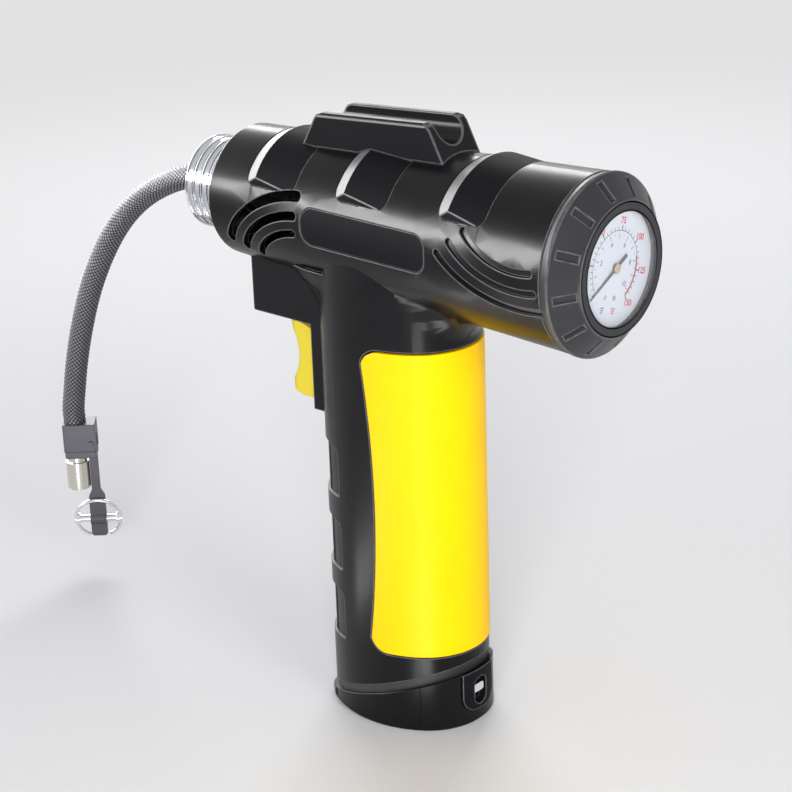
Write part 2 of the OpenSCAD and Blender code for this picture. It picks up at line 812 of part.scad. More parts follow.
module bent_rod(points, r, elbow_r, over) {
    n = len(points);
    for (i = [0:n - 2]) {
        run = points[i + 1] - points[i];
        step = over * run / norm(run);
        from = i == 0 ? points[i] - step : points[i];
        l = norm(run) + (i == 0 ? over : 0) + (i == n - 2 ? over : 0);
        translate([from[0], 0, from[1]]) rotate([0, atan2(run[0], run[1]), 0]) cylinder(h = l, r = r);
    }
    for (i = [1:n - 2]) translate([points[i][0], 0, points[i][1]]) sphere(elbow_r, $fn = 24);
}

head_z = cyl_low_z - head_t / 2;

module front_air_tube() {
    x = cyl_x - fin_r - 3;
    color([0.85, 0.85, 0.82]) bent_tube([[cyl_x - fin_r, head_z], [x, head_z],
        [x, cyl_top_z + 4], [x - 18, axis_z], [nose_x + wall + 18.1, axis_z]]);
}

module gauge_air_tube() {
    x = handle_half_d - wall - tube_r - 1.2;
    low = motor_z - motor_r - tube_r - 8;
    end = case_back_x - 6;
    color([0.85, 0.85, 0.82]) bent_tube([[cyl_x + fin_r, head_z], [x, head_z], [x, low - 11],
        [x + 8, low - 0.5], [end - 8, low + 1.5], [end - 3.5, axis_z], [end, axis_z]]);
}

// One ring of points round the hose, square to its run in the XZ plane
function hose_frame(i) = let (
    a = HOSE[max(0, i - 1)],
    b = HOSE[min(len(HOSE) - 1, i + 1)],
    t = i == 0 ? [-1, 0] : i == len(HOSE) - 1 ? [0, -1] : (b - a) / norm(b - a)
) [t[1], -t[0]];

module hose() {
    n = len(HOSE);
    points = [for (i = [0:n - 1], k = [0:hose_sides - 1])
        let (a = k * 360 / hose_sides, u = hose_frame(i), r = hose_d / 2)
        [HOSE[i][0] + r * cos(a) * u[0], r * sin(a), HOSE[i][1] + r * cos(a) * u[1]]];
    sides = [for (i = [0:n - 2], k = [0:hose_sides - 1]) let (
        a = i * hose_sides + k,
        b = i * hose_sides + (k + 1) % hose_sides,
        c = a + hose_sides,
        d = b + hose_sides
    ) each [[a, b, d], [a, d, c]]];
    ends = [[for (k = [hose_sides - 1:-1:0]) k], [for (k = [0:hose_sides - 1]) (n - 1) * hose_sides + k]];
    color([0.25, 0.25, 0.27]) polyhedron(points, concat(sides, ends));
}

// ================= bezel and gauge =================

bezel_face = [[rear_x + 4.2, bezel_r - 1.2], [rim_x - 1, dial_r + 4.9]];
bezel_profile = [[barrel_rear_r - 0.3, rear_x + seat_gap], [bezel_r, rear_x + 2.4],
    [bezel_r, rear_x + 3.2], [bezel_face[0][1], bezel_face[0][0]], [bezel_face[1][1], bezel_face[1][0]],
    [dial_r + 4.2, rim_x], [dial_r + 0.9, rim_x]];
notch_w = 2.4;
notch_depth = 0.9;

module bezel() {
    spigot_r = barrel_rear_r - wall - 0.3;
    run = bezel_face[1] - bezel_face[0];
    mid = (bezel_face[0] + bezel_face[1]) / 2;
    color([0.05, 0.05, 0.055]) difference() {
        about_barrel() polygon(concat(bezel_profile, [[dial_r + 0.9, rim_x - lip_t],
            [lens_r + 0.1, rim_x - lip_t], [lens_r + 0.1, rear_x - spigot_l],
            [spigot_r, rear_x - spigot_l], [spigot_r, rear_x + seat_gap]]));
        for (i = [0:bezel_notches - 1]) translate([0, 0, axis_z])
            rotate([i * 360 / bezel_notches + 8, 0, 0]) translate([mid[0], 0, mid[1]])
            rotate([0, atan2(-run[1], run[0]), 0])
            cube([norm(run) - 1.2, notch_w, 2 * notch_depth], center = true);
    }
}

module gauge_case() {
    color([0.2, 0.2, 0.21]) about_barrel() polygon([[2.6 + seat_gap, case_back_x],
        [case_r, case_back_x], [case_r, dial_x - dial_t], [case_r - case_wall, dial_x - dial_t],
        [case_r - case_wall, case_back_x + case_wall], [2.6 + seat_gap, case_back_x + case_wall]]);
}

module gauge_dial() {
    color([0.95, 0.95, 0.95]) difference() {
        rod_x(dial_x - dial_t, dial_x, case_r);
        rod_x(dial_x - 2, dial_x + 1, spindle_r + run_fit);
    }
}

module gauge_lens() {
    color([0.8, 0.9, 0.95, 0.35]) rod_x(lens_x, lens_x + lens_t, lens_r);
}

module needle() {
    tip = dial_r - 2.3;
    x0 = dial_x + 0.35;
    color([0.05, 0.05, 0.06]) {
        translate([x0, 0, axis_z]) rotate([180 - rest_angle, 0, 0]) rotate([90, 0, 90])
            linear_extrude(0.4) polygon([[-0.55, -6.5], [0.55, -6.5], [0.5, 0], [0.12, tip],
                [-0.12, tip], [-0.5, 0]]);
        rod_x(x0, dial_x + 1.1, 1.7);
        rod_x(fitting_end_x + gap, x0 + eps, spindle_r);
        rod_x(84.4, 86.6, 1.5);
    }
}

module gauge_movement() {
    color([0.75, 0.62, 0.3]) difference() {
        union() {
            box([82.4, 83.4], [-6, 6], [axis_z - 7, axis_z + 4]);
            box([88.4, 89.4], [-6, 6], [axis_z - 7, axis_z + 4]);
            for (y = [-4.6, 4.6], z = [-5.4, 2.6]) rod_x(83.4, 88.4, 0.8, y, axis_z + z);
            box([81.2, 82.4], [-2.4, 2.4], [axis_z - 12.5, axis_z - 3]);
        }
        rod_x(80, 92, spindle_r + run_fit);
    }
}

module bourdon_tube() {
    color([0.8, 0.66, 0.32]) translate([80, 0, axis_z]) rotate([0, 90, 0]) rotate([0, 0, 10])
        rotate_extrude(angle = 250) translate([tube_mid_r, 0]) difference() {
            square([1.4, 2.4], center = true);
            square([0.8, 1.8], center = true);
        }
}

module gauge_fitting() {
    color([0.8, 0.65, 0.3]) difference() {
        union() {
            rod_x(case_back_x - 6, fitting_end_x, 2.6);
            rod_x(case_back_x - 3, case_back_x - 0.1, 4.2);
            box([fitting_end_x - 4, fitting_end_x], [-3, 3], [axis_z - 14, axis_z - 1.5]);
        }
        rod_x(case_back_x - 7, case_back_x + 3, 1.2);
    }
}

// ================= motor and gears =================

module motor_can() {
    color([0.6, 0.61, 0.63]) difference() {
        union() {
            rod_x(motor_x[0], motor_x[1], motor_r, 0, motor_z);
            rod_x(bracket_x + 0.4, motor_x[0] + eps, 4.8, 0, motor_z);
        }
        rod_x(motor_x[0] + 1.4, motor_x[1] + 1, motor_r - 1.2, 0, motor_z);
        rod_x(bracket_x - 1, motor_x[0] + 3, shaft_r + run_fit, 0, motor_z);
    }
}

module motor_magnets() {
    color([0.2, 0.2, 0.2]) difference() {
        rod_x(motor_x[0] + 6, motor_x[1] - 6, motor_r - 1.2 - 0.02, 0, motor_z);
        rod_x(motor_x[0] + 5, motor_x[1] - 5, motor_r - 3.6, 0, motor_z);
        for (s = [-1, 1]) box([motor_x[0], motor_x[1]], [-2.5, 2.5], [motor_z + s * 10 - 6, motor_z + s * 10 + 6]);
    }
}

module motor_endcap() {
    color([0.12, 0.12, 0.12]) difference() {
        union() {
            rod_x(motor_x[1], motor_x[1] + endcap_l - 1, motor_r - 0.3, 0, motor_z);
            rod_x(motor_x[1] + endcap_l - 1 - eps, motor_x[1] + endcap_l, 5, 0, motor_z);
        }
        rod_x(motor_x[1] - 1, motor_x[1] + endcap_l - 1, shaft_r + run_fit, 0, motor_z);
    }
    color([0.8, 0.65, 0.3]) for (s = [-1, 1])
        box([motor_x[1] + endcap_l - 1, motor_x[1] + endcap_l + 4], [s * 9 - 1.4, s * 9 + 1.4],
            [motor_z - 0.3, motor_z + 0.3]);
}

module armature() {
    color([0.55, 0.3, 0.15]) difference() {
        union() {
            rod_x(motor_x[0] + 7, motor_x[1] - 9, motor_r - 4.6, 0, motor_z);
            rod_x(motor_x[1] - 9, motor_x[1] - 3, 4, 0, motor_z);
        }
        for (i = [0:4]) translate([0, 0, motor_z]) rotate([i * 72, 0, 0])
            box([motor_x[0] + 6, motor_x[1] - 9.01], [-0.8, 0.8], [4.5, 12]);
        rod_x(motor_x[0], motor_x[1], shaft_r, 0, motor_z);
    }
}

module motor_shaft() {
    color([0.7, 0.7, 0.72]) rod_x(pinion_x - 0.6, motor_x[1] + endcap_l - 1.4, shaft_r, 0, motor_z);
}

module pinion() {
    color([0.85, 0.7, 0.35]) translate([pinion_x, 0, motor_z]) difference() {
        rotate([90, 0, 90]) linear_extrude(pinion_l) rotate([0, 0, 180]) gear_outline(pinion_teeth, gear_m);
        rotate([0, 90, 0]) translate([0, 0, -1]) cylinder(h = pinion_l + 2, r = shaft_r);
    }
}

module gearbox_bracket() {
    color([0.7, 0.71, 0.73]) difference() {
        union() {
            rod_x(bracket_x, motor_x[0], 12.5, 0, motor_z);
            box([bracket_x, motor_x[0]], [-12.5, 12.5], [gear_z - 4, motor_z]);
            box([bracket_x, motor_x[0]], [-9, 9], [cyl_top_z, gear_z]);
            for (s = [-1, 1]) box([bracket_x, motor_x[0]], [s * 17 - 5, s * 17 + 5], [motor_z - 7, motor_z + 1]);
        }
        rod_x(bracket_x - 1, motor_x[0] + 1, 4.8 + 0.05, 0, motor_z);
        rod_x(bracket_x - 1, motor_x[0] + 1, axle_r, 0, gear_z);
        for (s = [-1, 1]) rod_x(bracket_x - 1, motor_x[0] + 1, 1.6, s * 8.5, motor_z);
    }
}

module gear_axle() {
    color([0.7, 0.7, 0.72]) rod_x(gear_x + axle_seat + 0.2, motor_x[0], axle_r, 0, gear_z);
}

module crank_gear() {
    color([0.88, 0.88, 0.84]) translate([0, 0, gear_z]) difference() {
        union() {
            translate([gear_x, 0, 0]) rotate([90, 0, 90]) linear_extrude(gear_t)
                rotate([0, 0, 180 / gear_teeth]) gear_outline(gear_teeth, gear_m);
            translate([gear_x + gear_t - eps, 0, 0]) rotate([0, 90, 0]) cylinder(h = hub_l + eps, r = hub_r);
        }
        rod_x(gear_x + axle_seat, gear_x + gear_t + hub_l + 1, axle_r + run_fit, 0, 0);
        rod_x(gear_x - 1, gear_x + crank_pin_seat, crank_pin_r, 0, -crank_r);
        for (i = [0:5]) rotate([i * 60 + 30, 0, 0])
            rod_x(gear_x - 1, gear_x + gear_t + 1, 2.3, 0, 10.6);
        difference() {
            rod_x(gear_x + 3.4, gear_x + gear_t + 0.001, 13.6, 0, 0);
            rod_x(gear_x, gear_x + gear_t + 1, hub_r, 0, 0);
        }
    }
}

module crank_pin() {
    color([0.7, 0.7, 0.72]) rod_x(rod_x + rod_t + gap, gear_x + crank_pin_seat, crank_pin_r, 0, pin_z);
}

module connecting_rod() {
    color([0.75, 0.76, 0.78]) difference() {
        union() {
            rod_x(rod_x, rod_x + rod_t, big_end_r, 0, pin_z);
            rod_x(rod_x, rod_x + rod_t, small_end_r, 0, wrist_z);
            box([rod_x + 0.6, rod_x + rod_t - 0.6], [-1.4, 1.4], [wrist_z, pin_z]);
        }
        rod_x(rod_x - 1, rod_x + rod_t + 1, crank_pin_r + run_fit, 0, pin_z);
        rod_x(rod_x - 1, rod_x + rod_t + 1, wrist_r, 0, wrist_z);
    }
}

module wrist_pin() {
    color([0.7, 0.7, 0.72]) rod_x(cyl_x - 4, cyl_x + 4, wrist_r, 0, wrist_z);
}

module piston() {
    color([0.85, 0.85, 0.86]) translate([cyl_x, 0, 0]) difference() {
        translate([0, 0, crown_z]) cylinder(h = piston_top_z - crown_z, r = piston_r);
        translate([0, 0, crown_in_z]) cylinder(h = 40, r = piston_in_r);
        translate([0, 0, crown_z + 1.2]) difference() {
            cylinder(h = 1.6, r = piston_r + 1);
            translate([0, 0, -1]) cylinder(h = 4, r = piston_r - 1.2);
        }
    }
}

module piston_seal() {
    color([0.12, 0.12, 0.12]) translate([cyl_x, 0, crown_z + 1.2]) difference() {
        cylinder(h = 1.6, r = piston_r + 0.02);
        translate([0, 0, -1]) cylinder(h = 4, r = piston_r - 1.2);
    }
}

module cylinder_body_flange() {
    translate([cyl_x, 0, 0]) for (s = [-1, 1])
        translate([0, s * (bore_r + 3.2), 0]) cylinder(h = flange_t, r = 3);
}

module cylinder_part() {
    color([0.72, 0.73, 0.75]) difference() {
        union() {
            translate([cyl_x, 0, cyl_low_z]) cylinder(h = cyl_top_z - cyl_low_z, r = bore_r + cyl_wall);
            for (i = [0:4]) translate([cyl_x, 0, cyl_low_z + i * 3.4]) cylinder(h = 1.2, r = fin_r);
            translate([0, 0, cyl_low_z]) cylinder_body_flange();
            box([cyl_x, motor_x[0] + 1], [-9, 9], [cyl_top_z - 3, cyl_top_z]);
        }
        translate([cyl_x, 0, cyl_low_z - 1]) cylinder(h = 60, r = bore_r);
        for (s = [-1, 1]) translate([cyl_x, s * (bore_r + 3.2), cyl_low_z - 1]) cylinder(h = 5, r = 1.3);
    }
}

module cylinder_head() {
    color([0.66, 0.67, 0.7]) difference() {
        union() {
            translate([cyl_x, 0, cyl_low_z - head_t]) cylinder(h = head_t, r = bore_r + cyl_wall);
            for (s = [-1, 1]) translate([cyl_x, s * (bore_r + 3.2), cyl_low_z - head_t]) cylinder(h = head_t, r = 3);
            rod_x(cyl_x - fin_r, cyl_x + fin_r, port_r + 0.8, 0, head_z);
        }
        translate([cyl_x, 0, cyl_low_z - 2]) cylinder(h = 3, r = bore_r - 1);
        rod_x(cyl_x - bore_r - 5, cyl_x + bore_r + 5, tube_bore_r, 0, head_z);
        for (s = [-1, 1]) translate([cyl_x, s * (bore_r + 3.2), cyl_low_z - head_t - 1]) cylinder(h = head_t + 2, r = 1.3);
    }
}

module head_screws() {
    color([0.4, 0.4, 0.42]) for (s = [-1, 1]) translate([cyl_x, s * (bore_r + 3.2), cyl_low_z - head_t]) {
        cylinder(h = head_t + 2.6, r = 1.25);
        translate([0, 0, -1.8]) cylinder(h = 1.8, r = 2.4);
    }
}

// ================= battery =================

module contact_block() {
    color([0.12, 0.12, 0.12]) difference() {
        intersection() {
            oval_column(contact_z, contact_z + 6, -wall - 0.1);
            box([-26, 26], [-12, 12], [0, big]);
        }
        for (x = [-8, 0, 8]) box([x - 1.4, x + 1.4], [-5, 5], [contact_z - 1, contact_z + 4.4]);
    }
}

module battery_contacts() {
    color([0.85, 0.7, 0.35]) for (x = [-8, 0, 8])
        box([x - 0.5, x + 0.5], [-3.5, 3.5], [case_top_z, contact_z + 3.4]);
}

module battery_case() {
    color([0.1, 0.1, 0.11]) difference() {
        oval_column(case_low_z, case_top_z, -case_inset);
        translate([0, 0, cell_low_z]) for (c = cell_at) translate([c[0], c[1], 0])
            cylinder(h = cell_l + 0.4, r = cell_r + 0.1);
    }
}

module battery_cells() {
    color([0.1, 0.45, 0.6]) for (c = cell_at) translate([c[0], c[1], cell_low_z]) {
        cylinder(h = cell_l - 1, r = cell_r);
        translate([0, 0, cell_l - 1 - eps]) cylinder(h = 1 + eps, r = 3.2);
    }
}

module latch_outline(grow) {
    h = 40;
    translate([-latch_half_w - grow, latch_low_z - grow + 6]) square([2 * (latch_half_w + grow), h]);
    for (s = [-1, 1]) translate([s * (latch_half_w - 6), latch_low_z + 6]) circle(6 + grow);
    translate([-(latch_half_w - 6), latch_low_z - grow]) square([2 * (latch_half_w - 6), 10]);
}

module pill_outline(grow) {
    r = pill_half_w + grow;
    for (z = [pill_z[0] + pill_half_w, pill_z[1] - pill_half_w]) translate([0, z]) circle(r);
    translate([-r, pill_z[0] + pill_half_w]) square([2 * r, pill_z[1] - pill_z[0] - 2 * pill_half_w]);
}

// Extrudes a [y, z] outline along X
module along_x(x0, x1) {
    translate([x0, 0, 0]) rotate([90, 0, 90]) linear_extrude(x1 - x0) children();
}

latch_seat_x = handle_half_d + foot_grow - 2.6;

module battery_foot() {
    color([0.04, 0.04, 0.045]) difference() {
        union() {
            intersection() {
                union() {
                    oval_column(0, foot_edge, foot_grow - foot_edge);
                    oval_column(foot_edge, 40, foot_grow);
                }
                below_slope(foot_top_z, foot_top_slope);
            }
            oval_column(1, case_low_z, -case_inset);
        }
        oval_column(case_low_z, 50, seat_gap - case_inset);
        along_x(latch_seat_x, 50) latch_outline(0.15);
        along_x(latch_seat_x - pill_depth, 50) pill_outline(0);
    }
}

module foot_seal() {
    color([0.02, 0.02, 0.02]) difference() {
        intersection() {
            oval_column(0, 40, -neck_inset);
            above_slope(foot_top_z, foot_top_slope);
            below_slope(handle_low_z - seat_gap, handle_low_slope);
        }
        oval_column(-1, 50, -wall - 0.6);
    }
}

module latch_frame() {
    color([0.06, 0.06, 0.065]) difference() {
        intersection() {
            along_x(latch_seat_x + 0.05, 50) latch_outline(0);
            oval_column(0, 40, foot_grow + latch_proud);
            below_slope(foot_top_z - 0.3, foot_top_slope);
        }
        along_x(latch_seat_x - 1, 50) pill_outline(0);
    }
}

module release_button() {
    color([0.8, 0.81, 0.83]) {
        along_x(latch_seat_x - pill_depth + gap, frame_out_x - 0.9)
            round_rect([-pill_half_w + 0.35, pill_half_w - 0.35],
                [button_z - button_h / 2, button_z + button_h / 2], 1.3);
    }
}

module release_spring() {
    color([0.7, 0.7, 0.72]) translate([latch_seat_x - pill_depth + spring_r + gap, 0, spring_foot_z]) difference() {
        cylinder(h = button_z - button_h / 2 - spring_foot_z, r = spring_r);
        translate([0, 0, -1]) cylinder(h = 20, r = spring_r - 0.4);
    }
}

// ================= chuck =================

module chuck_body() {
    z0 = chuck_top_z - block_h;
    color([0.2, 0.2, 0.22]) turned() difference() {
        union() {
            box(block_x, [-block_half_w, block_half_w], [z0, chuck_top_z]);
            box([block_x[0] + 0.3, block_x[1] - 0.3], [-block_half_w + 0.3, block_half_w - 0.3],
                [z0 - cap_h, z0]);
        }
        box([lever_x - lever_arm_w / 2 - gap - 0.6, block_x[1] + 1], [-lever_half_t - gap, lever_half_t + gap],
            [z0 - cap_h - 1, lever_pivot_z + 3]);
        translate([barrel_x, 0, z0 - cap_h - 1]) cylinder(h = 8, r = 1.5);
        rod_y(-10, 10, lever_pin_r, lever_x, lever_pivot_z);
    }
}

module lever_pin() {
    color([0.75, 0.76, 0.78]) turned()
        rod_y(-block_half_w - 0.5, block_half_w + 0.5, lever_pin_r, lever_x, lever_pivot_z);
}

module chuck_barrel() {
    color([0.82, 0.8, 0.76]) turned() translate([barrel_x, 0, 0]) difference() {
        union() {
            translate([0, 0, barrel_low_z]) cylinder(h = barrel_top_z - barrel_low_z, r = barrel_out_r - 0.7);
            translate([0, 0, barrel_low_z + 0.8]) cylinder(h = valve_l - 1.6, r = barrel_out_r);
        }
        translate([0, 0, barrel_low_z - 1]) cylinder(h = valve_l + 1, r = valve_r);
        translate([0, 0, barrel_low_z]) cylinder(h = valve_l + seal_t - barrel_lip, r = seal_r);
        translate([0, 0, barrel_low_z]) cylinder(h = 30, r = 1.5);
    }
}

module chuck_seal() {
    color([0.1, 0.1, 0.1]) turned() translate([barrel_x, 0, barrel_low_z + valve_l]) difference() {
        cylinder(h = seal_t - barrel_lip, r = seal_r);
        translate([0, 0, -1]) cylinder(h = 5, r = 1.5);
    }
}

module chuck_lever() {
    color([0.07, 0.07, 0.075]) turned() difference() {
        union() {
            rod_y(-lever_half_t, lever_half_t, lever_arm_w / 2, lever_x, lever_pivot_z);
            box([lever_x - lever_arm_w / 2, lever_x + lever_arm_w / 2], [-lever_half_t, lever_half_t],
                [lever_pad_z[1] - 3, lever_pivot_z]);
            across(lever_half_t) polygon([[lever_x - lever_arm_w / 2, lever_pad_z[1] + 2],
                [lever_x + lever_arm_w / 2, lever_pad_z[1] + 2], [lever_x + lever_pad_w / 2, lever_pad_z[1] - 1],
                [lever_x + lever_pad_w / 2, lever_pad_z[0] + 0.8], [lever_x + lever_pad_w / 2 - 0.8, lever_pad_z[0]],
                [lever_x - lever_pad_w / 2 + 0.8, lever_pad_z[0]], [lever_x - lever_pad_w / 2, lever_pad_z[0] + 0.8],
                [lever_x - lever_pad_w / 2, lever_pad_z[1] - 1]]);
            rod_x(lever_x - lever_pad_w / 2, lever_x + lever_pad_w / 2, cross_pin_r + 0.9, 0, ring_z);
        }
        rod_y(-5, 5, lever_pin_r + run_fit, lever_x, lever_pivot_z);
        rod_x(lever_x - 10, lever_x + 10, cross_pin_r, 0, ring_z);
    }
}

module cross_pin() {
    color([0.8, 0.81, 0.83]) turned() rod_x(lever_x - ring_r - 1.4, lever_x + ring_r + 1.4, cross_pin_r, 0, ring_z);
}

module wire_ring() {
    eye_l = 1.6;
    color([0.8, 0.81, 0.83]) turned() translate([lever_x, 0, ring_z]) rotate([ring_tilt, 0, 0]) difference() {
        union() {
            rotate([90, 0, 0]) rotate([0, 0, -90 + ring_gap]) rotate_extrude(angle = 360 - 2 * ring_gap)
                translate([loop_r, 0]) circle(wire_r);
            for (s = [-1, 1]) translate([s * ring_r, 0, 0]) rotate([0, 90, 0])
                cylinder(h = eye_l, r = cross_pin_r + 0.9, center = true);
        }
        rod_x(-20, 20, cross_pin_r + run_fit, 0, 0);
    }
}

housing_left();
housing_right();
housing_screws();
side_plate();
hose_clip();
grip_panel();
trigger_housing();
trigger();
trigger_spring();
switch_body();
switch_plunger();
control_board();
nose_collar();
outlet_fitting();
front_air_tube();
gauge_air_tube();
hose_gland();
hose();
bezel();
gauge_lens();
gauge_dial();
gauge_case();
needle();
bourdon_tube();
gauge_movement();
gauge_fitting();
motor_can();
motor_magnets();
motor_endcap();
armature();
motor_shaft();
pinion();
gearbox_bracket();
gear_axle();
crank_gear();
crank_pin();
connecting_rod();
wrist_pin();
piston();
piston_seal();
cylinder_part();  // cylinder
cylinder_head();
head_screws();
contact_block();
battery_foot();
foot_seal();
battery_case();
battery_cells();
battery_contacts();
latch_frame();
release_button();
release_spring();
chuck_body();
chuck_barrel();
chuck_seal();
lever_pin();
chuck_lever();
cross_pin();
wire_ring();
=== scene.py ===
"""The looks of a portable tire inflator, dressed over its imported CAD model.

Everything is in metres in the CAD frame: X runs from the hose end (-) to the gauge (+), Z is up,
the foot stands on z = 0, and the photograph shows the side that faces -Y.
"""

import json
import math
from collections import namedtuple

import bmesh
import bpy
from mathutils import Matrix, Vector


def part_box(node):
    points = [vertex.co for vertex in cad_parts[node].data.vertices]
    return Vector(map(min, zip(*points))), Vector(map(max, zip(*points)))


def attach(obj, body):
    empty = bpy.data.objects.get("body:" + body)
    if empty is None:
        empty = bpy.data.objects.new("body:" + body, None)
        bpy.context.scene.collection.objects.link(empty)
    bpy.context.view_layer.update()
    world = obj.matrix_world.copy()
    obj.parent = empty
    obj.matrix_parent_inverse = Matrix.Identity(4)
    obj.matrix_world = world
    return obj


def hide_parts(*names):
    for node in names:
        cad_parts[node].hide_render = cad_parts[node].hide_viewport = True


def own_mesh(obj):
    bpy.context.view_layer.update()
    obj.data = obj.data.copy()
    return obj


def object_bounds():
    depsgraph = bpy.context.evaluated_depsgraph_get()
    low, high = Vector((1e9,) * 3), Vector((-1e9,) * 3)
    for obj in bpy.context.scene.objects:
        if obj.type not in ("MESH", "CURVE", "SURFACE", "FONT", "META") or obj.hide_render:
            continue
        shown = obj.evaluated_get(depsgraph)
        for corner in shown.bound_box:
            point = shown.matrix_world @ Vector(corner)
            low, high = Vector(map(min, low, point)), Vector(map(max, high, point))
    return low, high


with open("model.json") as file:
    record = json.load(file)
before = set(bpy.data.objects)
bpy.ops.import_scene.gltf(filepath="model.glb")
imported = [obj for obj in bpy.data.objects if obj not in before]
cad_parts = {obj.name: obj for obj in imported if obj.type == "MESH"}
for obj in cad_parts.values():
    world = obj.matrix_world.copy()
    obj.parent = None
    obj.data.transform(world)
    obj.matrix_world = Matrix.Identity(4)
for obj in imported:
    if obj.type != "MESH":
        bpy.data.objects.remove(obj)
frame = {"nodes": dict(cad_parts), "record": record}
cad_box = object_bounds()
MM = 0.001


def add_object(name, data):
    """A new object in the scene."""
    obj = bpy.data.objects.new(name, data)
    bpy.context.scene.collection.objects.link(obj)
    return obj


# ---------------------------------------------------------------- camera
CAMERA_AT = Vector((0.4808, -0.5461, 0.4079))
CAMERA_UP = Vector((-0.2178, 0.2981, 0.9294))
CAMERA_BACK = Vector((0.6171, -0.6957, 0.3677))
CAMERA_LENS = 100
SENSOR_WIDTH = 36
CLIP_FROM, CLIP_TO = 0.01, 50


def make_camera():
    """The photograph's viewpoint: a long lens from the gauge end, a little above the barrel."""
    data = bpy.data.cameras.new("camera")
    data.lens = CAMERA_LENS
    data.sensor_width = SENSOR_WIDTH
    data.clip_start, data.clip_end = CLIP_FROM, CLIP_TO
    camera = add_object("camera", data)
    back = CAMERA_BACK.normalized()
    right = CAMERA_UP.cross(back).normalized()
    up = back.cross(right)
    turn = Matrix((right, up, back)).transposed().to_4x4()
    camera.matrix_world = Matrix.Translation(CAMERA_AT) @ turn
    bpy.context.scene.camera = camera


make_camera()


# ---------------------------------------------------------------- mesh helpers
SPLINE_STEPS = 24


def add_mesh(name, points, faces, smooth=True):
    """A new mesh object from points and faces."""
    mesh = bpy.data.meshes.new(name)
    mesh.from_pydata([tuple(p) for p in points], [], faces)
    mesh.update()
    for polygon in mesh.polygons:
        polygon.use_smooth = smooth
    return add_object(name, mesh)


def place(obj, body, slot, material, *replaced):
    """Gives a finished piece its body and its material, and hides the CAD nodes it stands for;
    `slot` is not used.
    """
    obj.data.materials.clear()
    obj.data.materials.append(material)
    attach(obj, body)
    if replaced:
        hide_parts(*replaced)


def catmull_rom(a, b, c, d, t):
    """The point at t, from 0 to 1, of the curve that runs from b to c."""
    line = 2 * b + (c - a) * t
    square = (2 * a - 5 * b + 4 * c - d) * t * t
    cube = (3 * b - a - 3 * c + d) * t**3
    return 0.5 * (line + square + cube)


def spline_points(knots, step):
    """Points every `step` along a smooth curve through the knots, and the curve's length."""
    ends = [2 * knots[0] - knots[1], *knots, 2 * knots[-1] - knots[-2]]
    dense = []
    for four in zip(ends, ends[1:], ends[2:], ends[3:]):
        dense += [catmull_rom(*four, i / SPLINE_STEPS) for i in range(SPLINE_STEPS)]
    dense.append(knots[-1].copy())
    lengths = [0.0]
    for p, q in zip(dense, dense[1:]):
        lengths.append(lengths[-1] + (q - p).length)
    count = round(lengths[-1] / step)
    out, j = [], 0
    for i in range(count + 1):
        s = lengths[-1] * i / count
        while j < len(dense) - 2 and lengths[j + 1] < s:
            j += 1
        share = (s - lengths[j]) / (lengths[j + 1] - lengths[j])
        out.append(dense[j].lerp(dense[j + 1], min(1.0, share)))
    return out, lengths[-1]


def tube_faces(rings, around):
    """The quads between the rings of a closed tube, and its two end faces."""
    faces = []
    for i in range(rings - 1):
        this, after = i * around, (i + 1) * around
        for j in range(around):
            k = (j + 1) % around
            faces.append((this + j, this + k, after + k, after + j))
    first = tuple(reversed(range(around)))
    last = tuple((rings - 1) * around + j for j in range(around))
    return [*faces, first, last]


def sweep(name, centres, radius, around, side):
    """A closed tube along the centres; radius(i, j) is its radius at ring i and side j.

    `side` is a direction that is never along the route; the UV map runs around and along."""
    points, runs = [], []
    last = len(centres) - 1
    run = 0.0
    for i, centre in enumerate(centres):
        ahead = centres[min(i + 1, last)] - centres[max(i - 1, 0)]
        ahead.normalize()
        across = (side - ahead * side.dot(ahead)).normalized()
        up = ahead.cross(across)
        if i:
            run += (centre - centres[i - 1]).length
        runs.append(run)
        for j in range(around):
            angle = 2 * math.pi * j / around
            out = across * math.cos(angle) + up * math.sin(angle)
            points.append(centre + out * radius(i, j))
    tube = add_mesh(name, points, tube_faces(len(centres), around))
    layer = tube.data.uv_layers.new(name="around_along")
    for polygon in tube.data.polygons:
        for n, loop in enumerate(polygon.loop_indices):
            i, j = divmod(tube.data.loops[loop].vertex_index, around)
            closes_ring = len(polygon.vertices) == 4 and n in (1, 2) and j == 0
            layer.data[loop].uv = (1.0 if closes_ring else j / around, runs[i])
    return tube


# ---------------------------------------------------------------- shader helpers
def feed(tree, socket, value):
    """Links a socket to another one, or sets it to a plain value."""
    if isinstance(value, bpy.types.NodeSocket):
        tree.links.new(value, socket)
    else:
        socket.default_value = value


def add_node(tree, kind, **values):
    """A new node, with its inputs and settings given by name; an underscore may be a space."""
    node = tree.nodes.new(kind)
    for name, value in values.items():
        socket = node.inputs.get(name.replace("_", " "))
        if socket is None:
            setattr(node, name, value)
        else:
            feed(tree, socket, value)
    return node


def math_node(tree, operation, *values):
    """The result of a Math node whose inputs are sockets or numbers."""
    node = add_node(tree, "ShaderNodeMath", operation=operation)
    for socket, value in zip(node.inputs, values):
        feed(tree, socket, value)
    return node.outputs[0]


def map_to(tree, factor, low, high):
    """A factor from 0 to 1 turned into a value from low to high."""
    node = add_node(tree, "ShaderNodeMapRange", Value=factor, To_Min=low, To_Max=high)
    return node.outputs["Result"]


def two_tones(tree, factor, *stops):
    """A colour that a factor moves between two stops, each a position and a colour."""
    node = add_node(tree, "ShaderNodeValToRGB", Fac=factor)
    for element, (position, color) in zip(node.color_ramp.elements, stops):
        element.position = position
        element.color = (*color, 1)
    return node.outputs["Color"]


def raised(tree, height, distance, strength):
    """A normal that follows a height."""
    node = add_node(
        tree, "ShaderNodeBump", Height=height, Distance=distance, Strength=strength
    )
    return node.outputs["Normal"]


